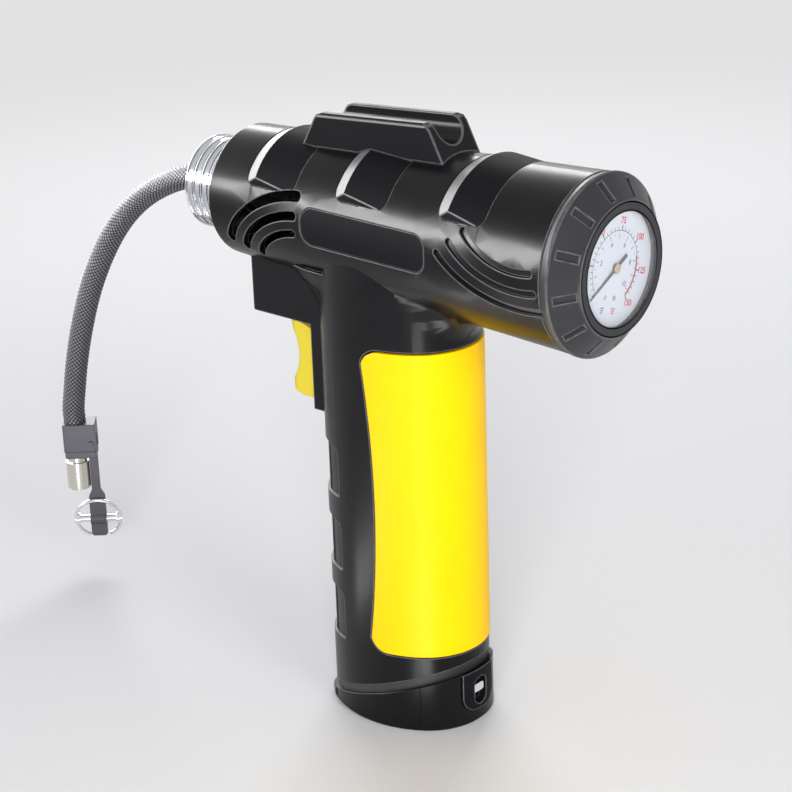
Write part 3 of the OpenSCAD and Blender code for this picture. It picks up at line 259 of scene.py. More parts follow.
def mix_shaders(tree, factor, first, second):
    """The first shader where the factor is 0, and the second where it is 1."""
    node = add_node(tree, "ShaderNodeMixShader")
    for socket, value in zip(node.inputs, (factor, first, second)):
        feed(tree, socket, value)
    return node.outputs["Shader"]


def new_material(name):
    """A material with nodes, its node tree and its shader."""
    material = bpy.data.materials.new(name)
    material.use_nodes = True
    tree = material.node_tree
    return material, tree, tree.nodes["Principled BSDF"]


# ---------------------------------------------------------------- materials
MOTTLE_FROM, MOTTLE_TO = 0.3, 0.7


def finish_material(
    name,
    color,
    rough,
    metallic=0.0,
    specular=0.5,
    coat=0.0,
    coat_rough=0.1,
    mottle=0.06,
    mottle_scale=90.0,
    rough_span=0.04,
    grain=0.0,
    grain_scale=2500.0,
    stretch=(1.0, 1.0, 1.0),
    alpha=1.0,
):
    """A procedural finish.

    The colour varies by `mottle` over patches of 1 / mottle_scale metres, the roughness by
    rough_span, and the surface is raised by `grain` metres at 1 / grain_scale metres, longer
    along an axis where `stretch` is below 1."""
    material, tree, shader = new_material(name)
    shader.inputs["Metallic"].default_value = metallic
    shader.inputs["IOR"].default_value = 1.5
    shader.inputs["Specular IOR Level"].default_value = specular
    shader.inputs["Coat Weight"].default_value = coat
    shader.inputs["Coat Roughness"].default_value = coat_rough
    shader.inputs["Alpha"].default_value = alpha
    place_in = add_node(tree, "ShaderNodeTexCoord").outputs["Object"]
    along = add_node(tree, "ShaderNodeMapping", Vector=place_in, Scale=stretch)
    at = along.outputs["Vector"]

    noise = add_node(tree, "ShaderNodeTexNoise", Vector=at, Scale=mottle_scale, Detail=3.0)
    patches = noise.outputs["Fac"]
    dark = (MOTTLE_FROM, [c * (1 - mottle) for c in color])
    light = (MOTTLE_TO, [min(1, c * (1 + mottle)) for c in color])
    feed(tree, shader.inputs["Base Color"], two_tones(tree, patches, dark, light))
    rough_map = map_to(tree, patches, rough - rough_span, rough + rough_span)
    feed(tree, shader.inputs["Roughness"], rough_map)

    fine = add_node(tree, "ShaderNodeTexNoise", Vector=at, Scale=grain_scale, Detail=2.0)
    normal = raised(tree, fine.outputs["Fac"], grain, 1.0 if grain else 0.0)
    feed(tree, shader.inputs["Normal"], normal)
    return material


STRANDS = 16
FILAMENTS = 5  # in each strand
FILAMENT_HEIGHT = 0.05 * MM
BRAID_PITCH = 1.9 * MM
# Braid colours: painted shade in the gaps between strands, a painted highlight on each strand's
# crown.
BRAID_GAP_SHADE = (0.12, (0.006, 0.006, 0.007))
BRAID_CROWN_HIGHLIGHT = (0.8, (0.2, 0.2, 0.215))


def braid_material():
    """Dark woven sleeve: the crown of each strand is painted lighter as a highlight, and the gaps
    between strands darker as painted shade.
    """
    material, tree, shader = new_material("braid")
    shader.inputs["Metallic"].default_value = 0.7
    shader.inputs["IOR"].default_value = 1.55
    shader.inputs["Coat Weight"].default_value = 0.25
    shader.inputs["Coat Roughness"].default_value = 0.2
    where = add_node(tree, "ShaderNodeUVMap", uv_map="around_along")
    split = add_node(tree, "ShaderNodeSeparateXYZ", Vector=where.outputs["UV"])

    def wave(shape, turns, per_metre, way):
        """A wave that winds round the hose, one way for 1 and the other way for -1."""
        around = math_node(tree, "MULTIPLY", split.outputs["X"], turns * 2 * math.pi)
        rate = way * per_metre * 2 * math.pi
        along = math_node(tree, "MULTIPLY", split.outputs["Y"], rate)
        return math_node(tree, shape, math_node(tree, "ADD", around, along))

    both_ways = (1, -1)
    passes = [wave("COSINE", STRANDS / 2, 0.5 / BRAID_PITCH, way) for way in both_ways]
    # Where both passes rise together the colour is a painted highlight; elsewhere it is painted
    # shade.
    crown_highlight = math_node(tree, "ABSOLUTE", math_node(tree, "MULTIPLY", *passes))
    feed(tree, shader.inputs["Base Color"], two_tones(tree, crown_highlight, BRAID_GAP_SHADE, BRAID_CROWN_HIGHLIGHT))

    noise = add_node(tree, "ShaderNodeTexNoise", Scale=900.0, Detail=3.0)
    feed(tree, shader.inputs["Roughness"], map_to(tree, noise.outputs["Fac"], 0.26, 0.42))

    turns, per_metre = STRANDS * FILAMENTS, FILAMENTS / BRAID_PITCH
    filaments = [wave("SINE", turns, per_metre, way) for way in both_ways]
    threads = math_node(tree, "MAXIMUM", *filaments)
    feed(tree, shader.inputs["Normal"], raised(tree, threads, FILAMENT_HEIGHT, 0.6))
    return material


# One finish for each material slot of the record.
MATERIALS = {
    "shell": finish_material(
        "shell_black", (0.004, 0.004, 0.005), 0.29, coat=0.03, coat_rough=0.12,
        mottle=0.15, grain=0.004 * MM, grain_scale=1400.0, rough_span=0.03, specular=0.16,
    ),
    "trim": finish_material(
        "trim_matte", (0.006, 0.006, 0.0075), 0.58, mottle=0.12, grain=0.02 * MM,
        grain_scale=2600.0, rough_span=0.06, specular=0.08,
    ),
    "yellow": finish_material(
        "panel_yellow", (1.0, 0.58, 0.0), 0.45, mottle=0.02, grain=0.006 * MM,
        grain_scale=3000.0, rough_span=0.05, specular=0.12,
    ),
    "bezel": finish_material(
        "bezel_satin", (0.021, 0.021, 0.024), 0.36, mottle=0.12, grain=0.01 * MM,
        grain_scale=2200.0, rough_span=0.05, specular=0.35,
    ),
    "dark_chrome": finish_material(
        "collar_silver", (0.62, 0.63, 0.66), 0.14, metallic=1.0, mottle=0.05,
        grain=0.002 * MM, grain_scale=5000.0, rough_span=0.04,
    ),
    "chrome": finish_material(
        "bright_plate", (0.78, 0.79, 0.81), 0.09, metallic=1.0, mottle=0.03,
        grain=0.002 * MM, grain_scale=4000.0, rough_span=0.03,
    ),
    "nickel": finish_material(
        "dull_nickel", (0.66, 0.63, 0.57), 0.27, metallic=1.0, mottle=0.06,
        grain=0.004 * MM, grain_scale=5000.0, stretch=(1, 1, 0.12), rough_span=0.06,
    ),
    "steel": finish_material(
        "bright_steel", (0.55, 0.55, 0.57), 0.28, metallic=1.0, mottle=0.06,
        grain=0.004 * MM, grain_scale=5000.0, stretch=(0.1, 1, 1), rough_span=0.06,
    ),
    "brass": finish_material(
        "turned_brass", (0.78, 0.58, 0.26), 0.3, metallic=1.0, mottle=0.08,
        grain=0.004 * MM, grain_scale=5000.0, stretch=(0.1, 1, 1), rough_span=0.07,
    ),
    "aluminium": finish_material(
        "die_cast_aluminium", (0.70, 0.71, 0.73), 0.42, metallic=1.0, mottle=0.06,
        grain=0.02 * MM, grain_scale=1800.0, rough_span=0.08,
    ),
    "lens": finish_material(
        "clear_lens", (0.95, 0.97, 1.0), 0.05, mottle=0.01, rough_span=0.01, alpha=0.08,
        grain=0.001 * MM, grain_scale=1500.0,
    ),
    "dial": finish_material(
        "white_enamel", (0.54, 0.57, 0.635), 0.35, mottle=0.015, grain=0.002 * MM,
        grain_scale=3000.0, rough_span=0.03,
    ),
    "black_metal": finish_material(
        "black_enamel", (0.010, 0.010, 0.011), 0.32, mottle=0.1, grain=0.004 * MM,
        grain_scale=3000.0,
    ),
    "rubber": finish_material(
        "black_rubber", (0.018, 0.018, 0.018), 0.6, mottle=0.15, grain=0.02 * MM,
        grain_scale=2500.0, rough_span=0.08,
    ),
    "braid": braid_material(),
    "magnet": finish_material(
        "ferrite", (0.05, 0.05, 0.055), 0.55, mottle=0.15, grain=0.02 * MM, grain_scale=2000.0,
    ),
    "copper": finish_material(
        "enamelled_copper", (0.62, 0.25, 0.10), 0.3, metallic=0.9, mottle=0.12,
        grain=0.03 * MM, grain_scale=2400.0, stretch=(0.08, 1, 1), coat=0.4,
    ),
    "nylon": finish_material(
        "white_nylon", (0.70, 0.69, 0.64), 0.45, mottle=0.04, grain=0.01 * MM,
        grain_scale=2000.0,
    ),
    "board": finish_material(
        "circuit_board", (0.01, 0.11, 0.045), 0.35, mottle=0.35, mottle_scale=320.0,
        grain=0.02 * MM, grain_scale=1200.0, coat=0.3,
    ),
    "cell": finish_material(
        "cell_sleeve", (0.03, 0.14, 0.36), 0.33, mottle=0.05, grain=0.004 * MM,
        grain_scale=1500.0, coat=0.3,
    ),
    # The air line is black as painted shade inside the vents it is seen through.
    "air_line": finish_material(
        "air_line_painted_shade", (0.012, 0.012, 0.013), 0.4, mottle=0.1, grain=0.004 * MM,
        grain_scale=1500.0, coat=0.3,
    ),
}

# Finishes that only some nodes, faces or prints take.
PALE_YELLOW = finish_material(
    "trigger_yellow", (0.78, 0.62, 0.03), 0.42, mottle=0.02, grain=0.005 * MM,
    grain_scale=3000.0, rough_span=0.05, specular=0.25,
)
CHUCK_GREY = finish_material(
    "chuck_dark_cast", (0.085, 0.082, 0.095), 0.45, metallic=0.6, mottle=0.1,
    grain=0.015 * MM, grain_scale=2200.0, rough_span=0.06,
)
PAD_BLACK = finish_material(
    "pad_matte_black", (0.006, 0.006, 0.0075), 0.6, mottle=0.12, grain=0.02 * MM,
    grain_scale=2600.0, rough_span=0.06, specular=0.06,
)
# A lighter grey for the strips on convex edges: a painted highlight along those edges.
EDGE_PAINTED_HIGHLIGHT = finish_material(
    "edge_painted_highlight", (0.07, 0.07, 0.075), 0.42, mottle=0.3, mottle_scale=500.0,
    grain=0.01 * MM, grain_scale=2600.0, rough_span=0.1, specular=0.3,
)
# A lighter grey for the pads' front bevels: a painted highlight on the glossy black shell.
BEVEL_PAINTED_HIGHLIGHT = finish_material(
    "bevel_painted_highlight", (0.26, 0.26, 0.27), 0.36, mottle=0.08, mottle_scale=700.0,
    grain=0.015 * MM, grain_scale=2600.0, rough_span=0.05,
)
RED_INK = finish_material("red_ink", (0.5, 0.02, 0.03), 0.4, mottle=0.05)
BLUE_INK = finish_material("blue_ink", (0.04, 0.13, 0.36), 0.4, mottle=0.05)
BLACK_INK = finish_material("black_ink", (0.02, 0.02, 0.025), 0.4, mottle=0.05)


# ---------------------------------------------------------------- hose
HOSE_DIAMETER = 9.4 * MM
HOSE_KNOTS_MM = [
    (-93.8, 185.5), (-101, 184.7), (-109, 182.4), (-117, 179), (-125, 174.7), (-133, 169.2),
    (-141, 162.2), (-148, 154.4), (-154.5, 145.6), (-160.5, 136), (-166, 125.6),
    (-170.5, 115), (-174.5, 104), (-178, 92.4), (-180.8, 80.5), (-182.5, 72), (-182.5, 66),
]
HOSE_AROUND = 64
RINGS_PER_PITCH = 4
STRAND_DEPTH = 0.45 * MM


def make_hose():
    """The braided hose: a tube whose skin is raised where each strand passes over another."""
    knots = [Vector((x, 0, z)) * MM for x, z in HOSE_KNOTS_MM]
    step = BRAID_PITCH / RINGS_PER_PITCH
    centres, length = spline_points(knots, step)

    def skin(i, j):
        turn = STRANDS * j / HOSE_AROUND
        run = i * step / BRAID_PITCH
        left = math.cos(math.pi * (turn + run))
        right = math.cos(math.pi * (turn - run))
        return HOSE_DIAMETER / 2 - STRAND_DEPTH * (1 - abs(left * right))

    hose = sweep("braided_hose", centres, skin, HOSE_AROUND, Vector((0, 1, 0)))
    place(hose, "body", "braid", MATERIALS["braid"], "hose")


make_hose()


# ---------------------------------------------------------------- even shading of the shell
NECK_HEIGHTS = (143 * MM, 178 * MM)
WELD_GRID = 0.004 * MM
FLAT = 0.99999  # a facet's corners have its own normal, to this cosine
BLEND_WITHIN = math.cos(math.radians(50))  # facets that bend less than this are one surface
OFF_FACE = math.cos(math.radians(8))  # a normal that leans more is replaced
SAME_FACE = math.cos(math.radians(12))  # by the mean of the faces within this


def weld_key(point):
    """Vertices that the tessellation left apart at one place share a key."""
    return tuple(round(c / WELD_GRID) for c in point)


def mean_normal(found, face_normal, agree):
    """The mean of the (normal, area) pairs that lean less than `agree` off a face, or None."""
    total = Vector()
    for normal, area in found:
        if normal.dot(face_normal) > agree:
            total += normal * area
    return total.normalized() if total.length > 0 else None


def even_normals(mesh):
    """Shades the shell evenly.

    The facets between handle and barrel take the normals of what they join, as one smooth blend.
    A corner whose normal leans off its own face takes the mean of the faces that agree with it."""
    normals = [n.vector.copy() for n in mesh.corner_normals]
    keys = [weld_key(mesh.vertices[loop.vertex_index].co) for loop in mesh.loops]
    low, high = NECK_HEIGHTS
    facets, smooth_at, flat_at, face_at = [], {}, {}, {}
    for polygon in mesh.polygons:
        flat = all(normals[i].dot(polygon.normal) > FLAT for i in polygon.loop_indices)
        facet = flat and low < polygon.center.z < high
        if facet:
            facets.append(polygon)
        at = flat_at if facet else smooth_at
        for i in polygon.loop_indices:
            at.setdefault(keys[i], []).append((normals[i], polygon.area))
            face_at.setdefault(keys[i], []).append((polygon.normal.copy(), polygon.area))

    for polygon in mesh.polygons:
        for i in polygon.loop_indices:
            if normals[i].dot(polygon.normal) < OFF_FACE:
                mean = mean_normal(face_at[keys[i]], polygon.normal, SAME_FACE)
                normals[i] = mean or polygon.normal.copy()
    for polygon in facets:
        for i in polygon.loop_indices:
            for at in (smooth_at, flat_at):
                blended = mean_normal(at.get(keys[i], []), polygon.normal, BLEND_WITHIN)
                if blended:
                    normals[i] = blended
                    break
    mesh.normals_split_custom_set(normals)


# ---------------------------------------------------------------- strips along sharp edges
EDGE_MM = {
    "housing_left": 0.35, "housing_right": 0.35, "grip_panel": 0.3, "side_plate": 0.3,
    "hose_clip": 0.6, "trigger": 0.35, "trigger_housing": 0.3, "bezel": 0.5,
    "battery_foot": 0.35, "chuck_body": 0.25, "chuck_lever": 0.2, "nose_collar": 0.12,
    "latch_frame": 0.25, "release_button": 0.15,
}
# Nodes whose convex edges take the lighter grey of a painted highlight.
PAINTED_HIGHLIGHT_NODES = (
    "housing_left", "housing_right", "side_plate", "hose_clip", "trigger_housing", "bezel",
    "latch_frame",
)
SEAM_EDGE_MM = 0.1  # the width where the shell's halves meet
SEAM_HALF = 0.03 * MM  # an edge this near to y = 0 is on their seam
SLIVER_AREA = 1e-11  # a smaller face has no strip
SHORTEST_EDGE = 1e-7
SHARP = math.cos(math.radians(25))  # an edge that bends more is sharp
SOFT_CORNER = math.cos(math.radians(45))  # between upright faces it has to bend more than this
UPRIGHT = 0.3  # the most that an upright face's normal rises or falls
SAME_SIDE = 0.93  # normals that agree this well belong to one side of a corner
CANCELLED = 1e-6  # ways into a face that add up to less than this cancel out
MITRE_LEAST = 0.6  # keeps a mitre at a narrow corner short
LIFT = 0.012 * MM
EDGE_LIFT = 1.3 * LIFT
FILLET = 0.29  # how far a fillet reaches out of its corner, as a share of the width

SLOTS = {part["node"]: part["material_slot"] for part in frame["record"]["subparts"]}
BODY_NODES = frame["record"]["behaviour"]["bodies"]

Corner = namedtuple("Corner", "key point normal")
Side = namedtuple("Side", "start end inward material")


def corners_of(mesh):
    """Every polygon as a list of its corners."""
    places = [vertex.co.copy() for vertex in mesh.vertices]
    keys = [weld_key(point) for point in places]
    normals = mesh.corner_normals
    found = []
    for polygon in mesh.polygons:
        pairs = zip(polygon.loop_indices, polygon.vertices)
        found.append([Corner(keys[v], places[v], normals[i].vector.copy()) for i, v in pairs])
    return found


def edge_sides(mesh):
    """The sides of every edge, by the keys of its ends."""
    sides = {}
    for polygon, corners in zip(mesh.polygons, corners_of(mesh)):
        if polygon.area < SLIVER_AREA:
            continue
        for a, b in zip(corners, corners[1:] + corners[:1]):
            along = b.point - a.point
            if a.key == b.key or along.length < SHORTEST_EDGE:
                continue
            inward = polygon.normal.cross(along).normalized()
            side = Side(a, b, inward, polygon.material_index)
            sides.setdefault(frozenset((a.key, b.key)), []).append(side)
    return sides


def sharp_edges(mesh):
    """Every sharp edge as its two sides, and whether it is convex."""
    sharp = []
    for pair in edge_sides(mesh).values():
        if len(pair) != 2:
            continue
        first, second = pair
        n1 = (first.start.normal + first.end.normal).normalized()
        n2 = (second.start.normal + second.end.normal).normalized()
        upright = max(abs(n1.z), abs(n2.z)) < UPRIGHT and n1.dot(n2) > SOFT_CORNER
        if n1.dot(n2) < SHARP and not upright:
            sharp.append((first, second, n2.dot(first.inward) < 0))
    return sharp


def edge_strips(name, node, width, seam):
    """Thin strips that carry the light round a node's sharp edges, with a fillet in its corners.

    Each lies on the faces beside an edge; `seam` is the width where the shell's halves meet."""
    mesh = node.data
    sharp = sharp_edges(mesh)
    if not sharp:
        return
    ways_in = {}
    for first, second, _ in sharp:
        for side in (first, second):
            for corner in (side.start, side.end):
                ways_in.setdefault(corner.key, []).append((corner.normal, side.inward))

    def set_in(corner, inward, wide):
        """The strip's inner point: the corner moved into the face, mitred where edges meet."""
        total = Vector()
        for normal, way in ways_in[corner.key]:
            if normal.dot(corner.normal) > SAME_SIDE:
                total += way
        if total.length < CANCELLED:
            total = inward.copy()
        total.normalize()
        reach = wide / max(MITRE_LEAST, total.dot(inward))
        return corner.point + total * reach + corner.normal * LIFT

    points, normals, faces, materials = [], [], [], []
    for first, second, convex in sharp:
        on_seam = all(abs(c.point.y) < SEAM_HALF for c in (first.start, first.end))
        wide = seam if on_seam else width
        for side, other in ((first, second), (second, first)):
            outer, inner = [], []
            for corner in (side.start, side.end):
                opposite = min(
                    (other.start, other.end),
                    key=lambda c: (c.point - corner.point).length_squared,
                )
                middle = (corner.normal + opposite.normal).normalized()
                if convex:
                    edge = corner.point + middle * EDGE_LIFT
                else:
                    edge = corner.point + (side.inward + other.inward) * wide * FILLET
                outer.append((edge, middle))
                inner.append((set_in(corner, side.inward, wide), corner.normal))
            ring = [*outer, *reversed(inner)]
            start = len(points)
            points += [point for point, _ in ring]
            normals += [normal for _, normal in ring]
            faces.append(tuple(range(start, start + 4)))
            # Convex edges of these nodes, off the seam, get the painted highlight colour.
            edge_highlight = name in PAINTED_HIGHLIGHT_NODES and convex and not on_seam
            materials.append(len(mesh.materials) if edge_highlight else side.material)
    low, high = cad_box
    points = [Vector(max(low[i], min(high[i], p[i])) for i in range(3)) for p in points]
    strips = add_mesh(f"{name}_edges", points, faces)
    for material in (*mesh.materials, EDGE_PAINTED_HIGHLIGHT):
        strips.data.materials.append(material)
    strips.data.polygons.foreach_set("material_index", materials)
    strips.data.normals_split_custom_set_from_vertices(normals)
    body = next(b for b, group in BODY_NODES.items() if name in group)
    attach(strips, body)


# ---------------------------------------------------------------- CAD nodes
OWN_MATERIAL = {
    "trigger": PALE_YELLOW,
    "chuck_body": CHUCK_GREY,
    "chuck_lever": CHUCK_GREY,
    "lever_pin": CHUCK_GREY,
    "side_plate": PAD_BLACK,
    "hose_clip": PAD_BLACK,
    "battery_foot": MATERIALS["shell"],
    # The outlet fitting is black enamel as painted shade inside the vents it is seen through.
    "outlet_fitting": MATERIALS["black_metal"],
}

# The barrel's cone, from its front to its rear: X and radius.
BARREL_AXIS_Z = 185.5 * MM
BARREL_FRONT = (-67.5 * MM, 24.0 * MM)
BARREL_REAR = (84.0 * MM, 30.2 * MM)
BARREL_SLOPE = (BARREL_REAR[1] - BARREL_FRONT[1]) / (BARREL_REAR[0] - BARREL_FRONT[0])

# A face belongs to a raised pad when it lies high enough, on or over the barrel, and faces out.
PAD_FROM_Z = BARREL_AXIS_Z + 9 * MM
PAD_LOWEST = -0.4 * MM
PAD_FACING = 0.94
TOP_FACING = 0.985
LEANS_BACK = 0.03
LEANS_FORWARD = -0.2
SHELL, PAD_TOP, PAD_FRONT = 0, 1, 2

CLIP_SIDE, CLIP_REST = 0, 1
CLIP_FACING = 0.98  # a face of the clip's sides faces Y at least this squarely


def pad_zone(polygon):
    """Which finish a face of the housing has: shell, top of a raised pad, or its front bevel,
    which takes a painted highlight.
    """
    centre, normal = polygon.center, polygon.normal
    radial = Vector((0, centre.y, centre.z - BARREL_AXIS_Z))
    above = radial.length - BARREL_FRONT[1] - BARREL_SLOPE * (centre.x - BARREL_FRONT[0])
    radial.normalize()
    straight_out = (radial + Vector((-BARREL_SLOPE, 0, 0))).normalized()
    facing = normal.dot(straight_out)
    if centre.z < PAD_FROM_Z or above < PAD_LOWEST or facing < PAD_FACING:
        return SHELL
    if normal.x > LEANS_BACK and facing > TOP_FACING:
        return PAD_TOP
    return PAD_FRONT if normal.x < LEANS_FORWARD else SHELL


def dress_housing(mesh):
    """Gives the glossy shell matte pad tops and pad fronts in a lighter grey, a painted highlight,
    and shades it evenly.
    """
    mesh.materials.append(PAD_BLACK)
    mesh.materials.append(BEVEL_PAINTED_HIGHLIGHT)
    for polygon in mesh.polygons:
        polygon.material_index = pad_zone(polygon)
    even_normals(mesh)


def dress_clip(mesh):
    """The clip is matte on its sides and glossy elsewhere."""
    mesh.materials.append(MATERIALS["shell"])
    for polygon in mesh.polygons:
        sideways = abs(polygon.normal.y) >= CLIP_FACING
        polygon.material_index = CLIP_SIDE if sideways else CLIP_REST


def dress_nodes():
    """Each CAD node gets its slot's or its own material, and some get strips at their edges."""
    for name, node in frame["nodes"].items():
        housing = name in ("housing_left", "housing_right")
        node.data.materials.clear()
        node.data.materials.append(OWN_MATERIAL.get(name, MATERIALS[SLOTS[name]]))
        if housing:
            dress_housing(node.data)
        if name == "hose_clip":
            dress_clip(node.data)
        if name in EDGE_MM:
            width = EDGE_MM[name] * MM
            edge_strips(name, node, width, SEAM_EDGE_MM * MM if housing else width)


dress_nodes()


# ---------------------------------------------------------------- gauge dial
DIAL_FACE_X = 91.6 * MM
PRINT_LIFT = 0.04 * MM

# Both scales start at this angle, counter-clockwise from the top, and run clockwise. The outer one
# ends at SCALE_TOP, and the inner one is in bar.
SCALE_START = 117.0
SCALE_SWEEP = 270.0
SCALE_TOP = 150
TICK_STEP = 5
LABEL_STEP = 25
RED_FROM = 112
BAR_AT_TOP = 10.34
LAST_BAR = 10
BAR_LABEL_STEP = 2
DIAL_TILT = SCALE_START - SCALE_SWEEP / 2

# Ticks are an inner radius, an outer radius and a width; bands two radii and a count of steps.
FINE_TICK = (12.3 * MM, 13.4 * MM, 0.26 * MM)
BOLD_TICK = (12.3 * MM, 14.0 * MM, 0.4 * MM)
BAR_TICK = (9.7 * MM, 11.3 * MM, 0.3 * MM)
HALF_BAR_TICK = (10.5 * MM, 11.3 * MM, 0.2 * MM)
SCALE_LINE = (12.08 * MM, 12.3 * MM, 90)
RED_BAND = (11.45 * MM, 12.25 * MM, 40)

# Numbers are the radius of their middles and a size, drawn a little bolder than the font is.
OUTER_NUMBERS = (15.4 * MM, 3.0 * MM)
INNER_NUMBERS = (8.2 * MM, 2.3 * MM)
BOLDER = 0.03

# Places in mm in the dial's own turned axes.
KEY_X, KEY_Y = 3.1, -13.4
KEY_WIDTH = 2.2
KEY_ROWS = 3
KEY_PITCH = 0.75
KEY_BAR = 0.4
KEY_TAPER = 0.18
SCREW_X, SCREW_Y = 2.45, -9.75

# Outlines are X and radius in mm, from the back to the front.
SCREW_SIDES = 24
SCREW_OUTLINE = [(-0.3, 0.85), (0.0, 0.9), (0.22, 0.85), (0.34, 0.62), (0.36, 0.25), (0.24, 0.06)]
BOSS_SIDES = 32
BOSS_OUTLINE = [(-0.3, 1.5), (-0.05, 1.62), (0.1, 1.45), (0.2, 1.0), (0.22, 0.5), (0.1, 0.12)]


def on_dial(radius, angle, lift=PRINT_LIFT):
    """A point of the dial: angle in degrees, counter-clockwise from the top seen from +X."""
    a = math.radians(angle)
    return Vector(
        (DIAL_FACE_X + lift, -radius * math.sin(a), BARREL_AXIS_Z + radius * math.cos(a))
    )


def dial_point(x, y, lift=PRINT_LIFT):
    """A point given in mm in the dial's own turned axes."""
    angle = math.degrees(math.atan2(-x, y)) + DIAL_TILT
    return on_dial(math.hypot(x, y) * MM, angle, lift)


def scale_angle(value):
    """Where a value of the outer scale stands."""
    return SCALE_START - SCALE_SWEEP * value / SCALE_TOP


def from_bar(bar):
    """The value of the outer scale at a value in bar."""
    return bar * SCALE_TOP / BAR_AT_TOP


def flat_print(name, quads, ink):
    """Thin printed marks: each quad is four points on the dial."""
    points = [p for quad in quads for p in quad]
    faces = [tuple(range(4 * i, 4 * i + 4)) for i in range(len(quads))]
    place(add_mesh(name, points, faces, smooth=False), "body", "dial", ink)


def tick(value, inner, outer, width):
    """One radial line of the scale."""
    angle = scale_angle(value)
    across = (on_dial(1, angle + 90) - on_dial(0, 0)) * width / 2
    low, high = on_dial(inner, angle), on_dial(outer, angle)
    return [low - across, low + across, high + across, high - across]


def arc_strip(first, last, inner, outer, steps):
    """Quads that make a ring segment between two angles."""
    quads = []
    for i in range(steps):
        a = first + (last - first) * i / steps
        b = first + (last - first) * (i + 1) / steps
        quads.append([on_dial(inner, a), on_dial(inner, b), on_dial(outer, b), on_dial(outer, a)])
    return quads


def text_mesh(text, size):
    """The flat mesh of a short text, centred on its origin in the XY plane."""
    curve = bpy.data.curves.new("number", "FONT")
    curve.body = text
    curve.size = size
    curve.align_x = "CENTER"
    curve.align_y = "CENTER"
    curve.offset = size * BOLDER
    holder = add_object("number", curve)
    bpy.context.view_layer.update()
    evaluated = holder.evaluated_get(bpy.context.evaluated_depsgraph_get())
    flat = bpy.data.meshes.new_from_object(evaluated)
    bpy.data.objects.remove(holder)
    return flat


def numbers(name, labels, radius, size, ink):
    """Printed numbers, upright in the dial's own turn: labels are (text, angle) pairs."""
    made = bmesh.new()
    tilt = math.radians(DIAL_TILT)
    right = Vector((0, math.cos(tilt), math.sin(tilt)))
    up = Vector((0, -math.sin(tilt), math.cos(tilt)))
    for text, angle in labels:
        flat = text_mesh(text, size)
        centre = on_dial(radius, angle)
        for vertex in flat.vertices:
            vertex.co = centre + right * vertex.co.x + up * vertex.co.y
        made.from_mesh(flat)
        bpy.data.meshes.remove(flat)
    mesh = bpy.data.meshes.new(name)
    made.to_mesh(mesh)
    made.free()
    place(add_object(name, mesh), "body", "dial", ink)


def print_scales():
    """The black outer scale on its line, the blue inner scale and the red band between them."""
    fine = [tick(v, *FINE_TICK) for v in range(0, SCALE_TOP + 1, TICK_STEP)]
    bold = [tick(v, *BOLD_TICK) for v in range(0, SCALE_TOP + 1, LABEL_STEP)]
    line = arc_strip(scale_angle(0), scale_angle(SCALE_TOP), *SCALE_LINE)
    flat_print("dial_outer_scale", fine + bold + line, BLACK_INK)
    inner = [tick(from_bar(b), *BAR_TICK) for b in range(LAST_BAR + 1)]
    inner += [tick(from_bar(b + 0.5), *HALF_BAR_TICK) for b in range(LAST_BAR)]
    flat_print("dial_inner_scale", inner, BLUE_INK)
    red = arc_strip(scale_angle(RED_FROM), scale_angle(SCALE_TOP), *RED_BAND)
    flat_print("dial_red_band", red, RED_INK)


def print_numbers():
    """The red numbers of the outer scale and the blue ones of the inner scale."""
    outer = range(LABEL_STEP, SCALE_TOP + 1, LABEL_STEP)
    labels = [(str(v), scale_angle(v)) for v in outer]
    numbers("dial_outer_numbers", labels, *OUTER_NUMBERS, RED_INK)
    inner = range(BAR_LABEL_STEP, LAST_BAR + 1, BAR_LABEL_STEP)
    labels = [(str(b), scale_angle(from_bar(b))) for b in inner]
    numbers("dial_inner_numbers", labels, *INNER_NUMBERS, BLUE_INK)


def swatch(name, x, ink):
    """A colour key for one scale: short printed bars, each shorter than the one above it."""
    quads = []
    for row in range(KEY_ROWS):
        low = KEY_Y - row * KEY_PITCH
        high = low + KEY_BAR
        half = KEY_WIDTH / 2 * (1 - KEY_TAPER * row)
        corners = [(x - half, low), (x + half, low), (x + half, high), (x - half, high)]
        quads.append([dial_point(a, b) for a, b in corners])
    flat_print(name, quads, ink)


def lathe(name, outline, centre, sides):
    """A solid turned about the X axis: the outline is (x, radius) pairs in mm from the centre."""
    points = []
    for x, radius in outline:
        for j in range(sides):
            a = 2 * math.pi * j / sides
            ring_point = Vector((x, radius * math.cos(a), radius * math.sin(a)))
            points.append(centre + ring_point * MM)
    return add_mesh(name, points, tube_faces(len(outline), sides))


def screw(name, x, y):
    """A small round dial screw with a dimpled head."""
    head = lathe(name, SCREW_OUTLINE, dial_point(x, y, 0), SCREW_SIDES)
    place(head, "body", "steel", MATERIALS["steel"])


def hub():
    """The brass boss at the middle of the needle."""
    needle_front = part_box("needle")[1].x
    centre = Vector((needle_front, 0, BARREL_AXIS_Z))
    boss = lathe("needle_boss", BOSS_OUTLINE, centre, BOSS_SIDES)
    place(boss, "needle", "brass", MATERIALS["brass"])


def make_dial():
    """The printed scales and their keys, the dial's two small screws and the needle's boss."""
    print_scales()
    print_numbers()
    swatch("dial_blue_key", -KEY_X, BLUE_INK)
    swatch("dial_red_key", KEY_X, RED_INK)
    screw("dial_screw_left", -SCREW_X, SCREW_Y)
    screw("dial_screw_right", SCREW_X, SCREW_Y)
    hub()


make_dial()


# ---------------------------------------------------------------- springs
STEPS_PER_TURN = 24
WIRE_SIDES = 10
END_PITCH = 0.7  # the pitch at both ends, as a share of the mean pitch


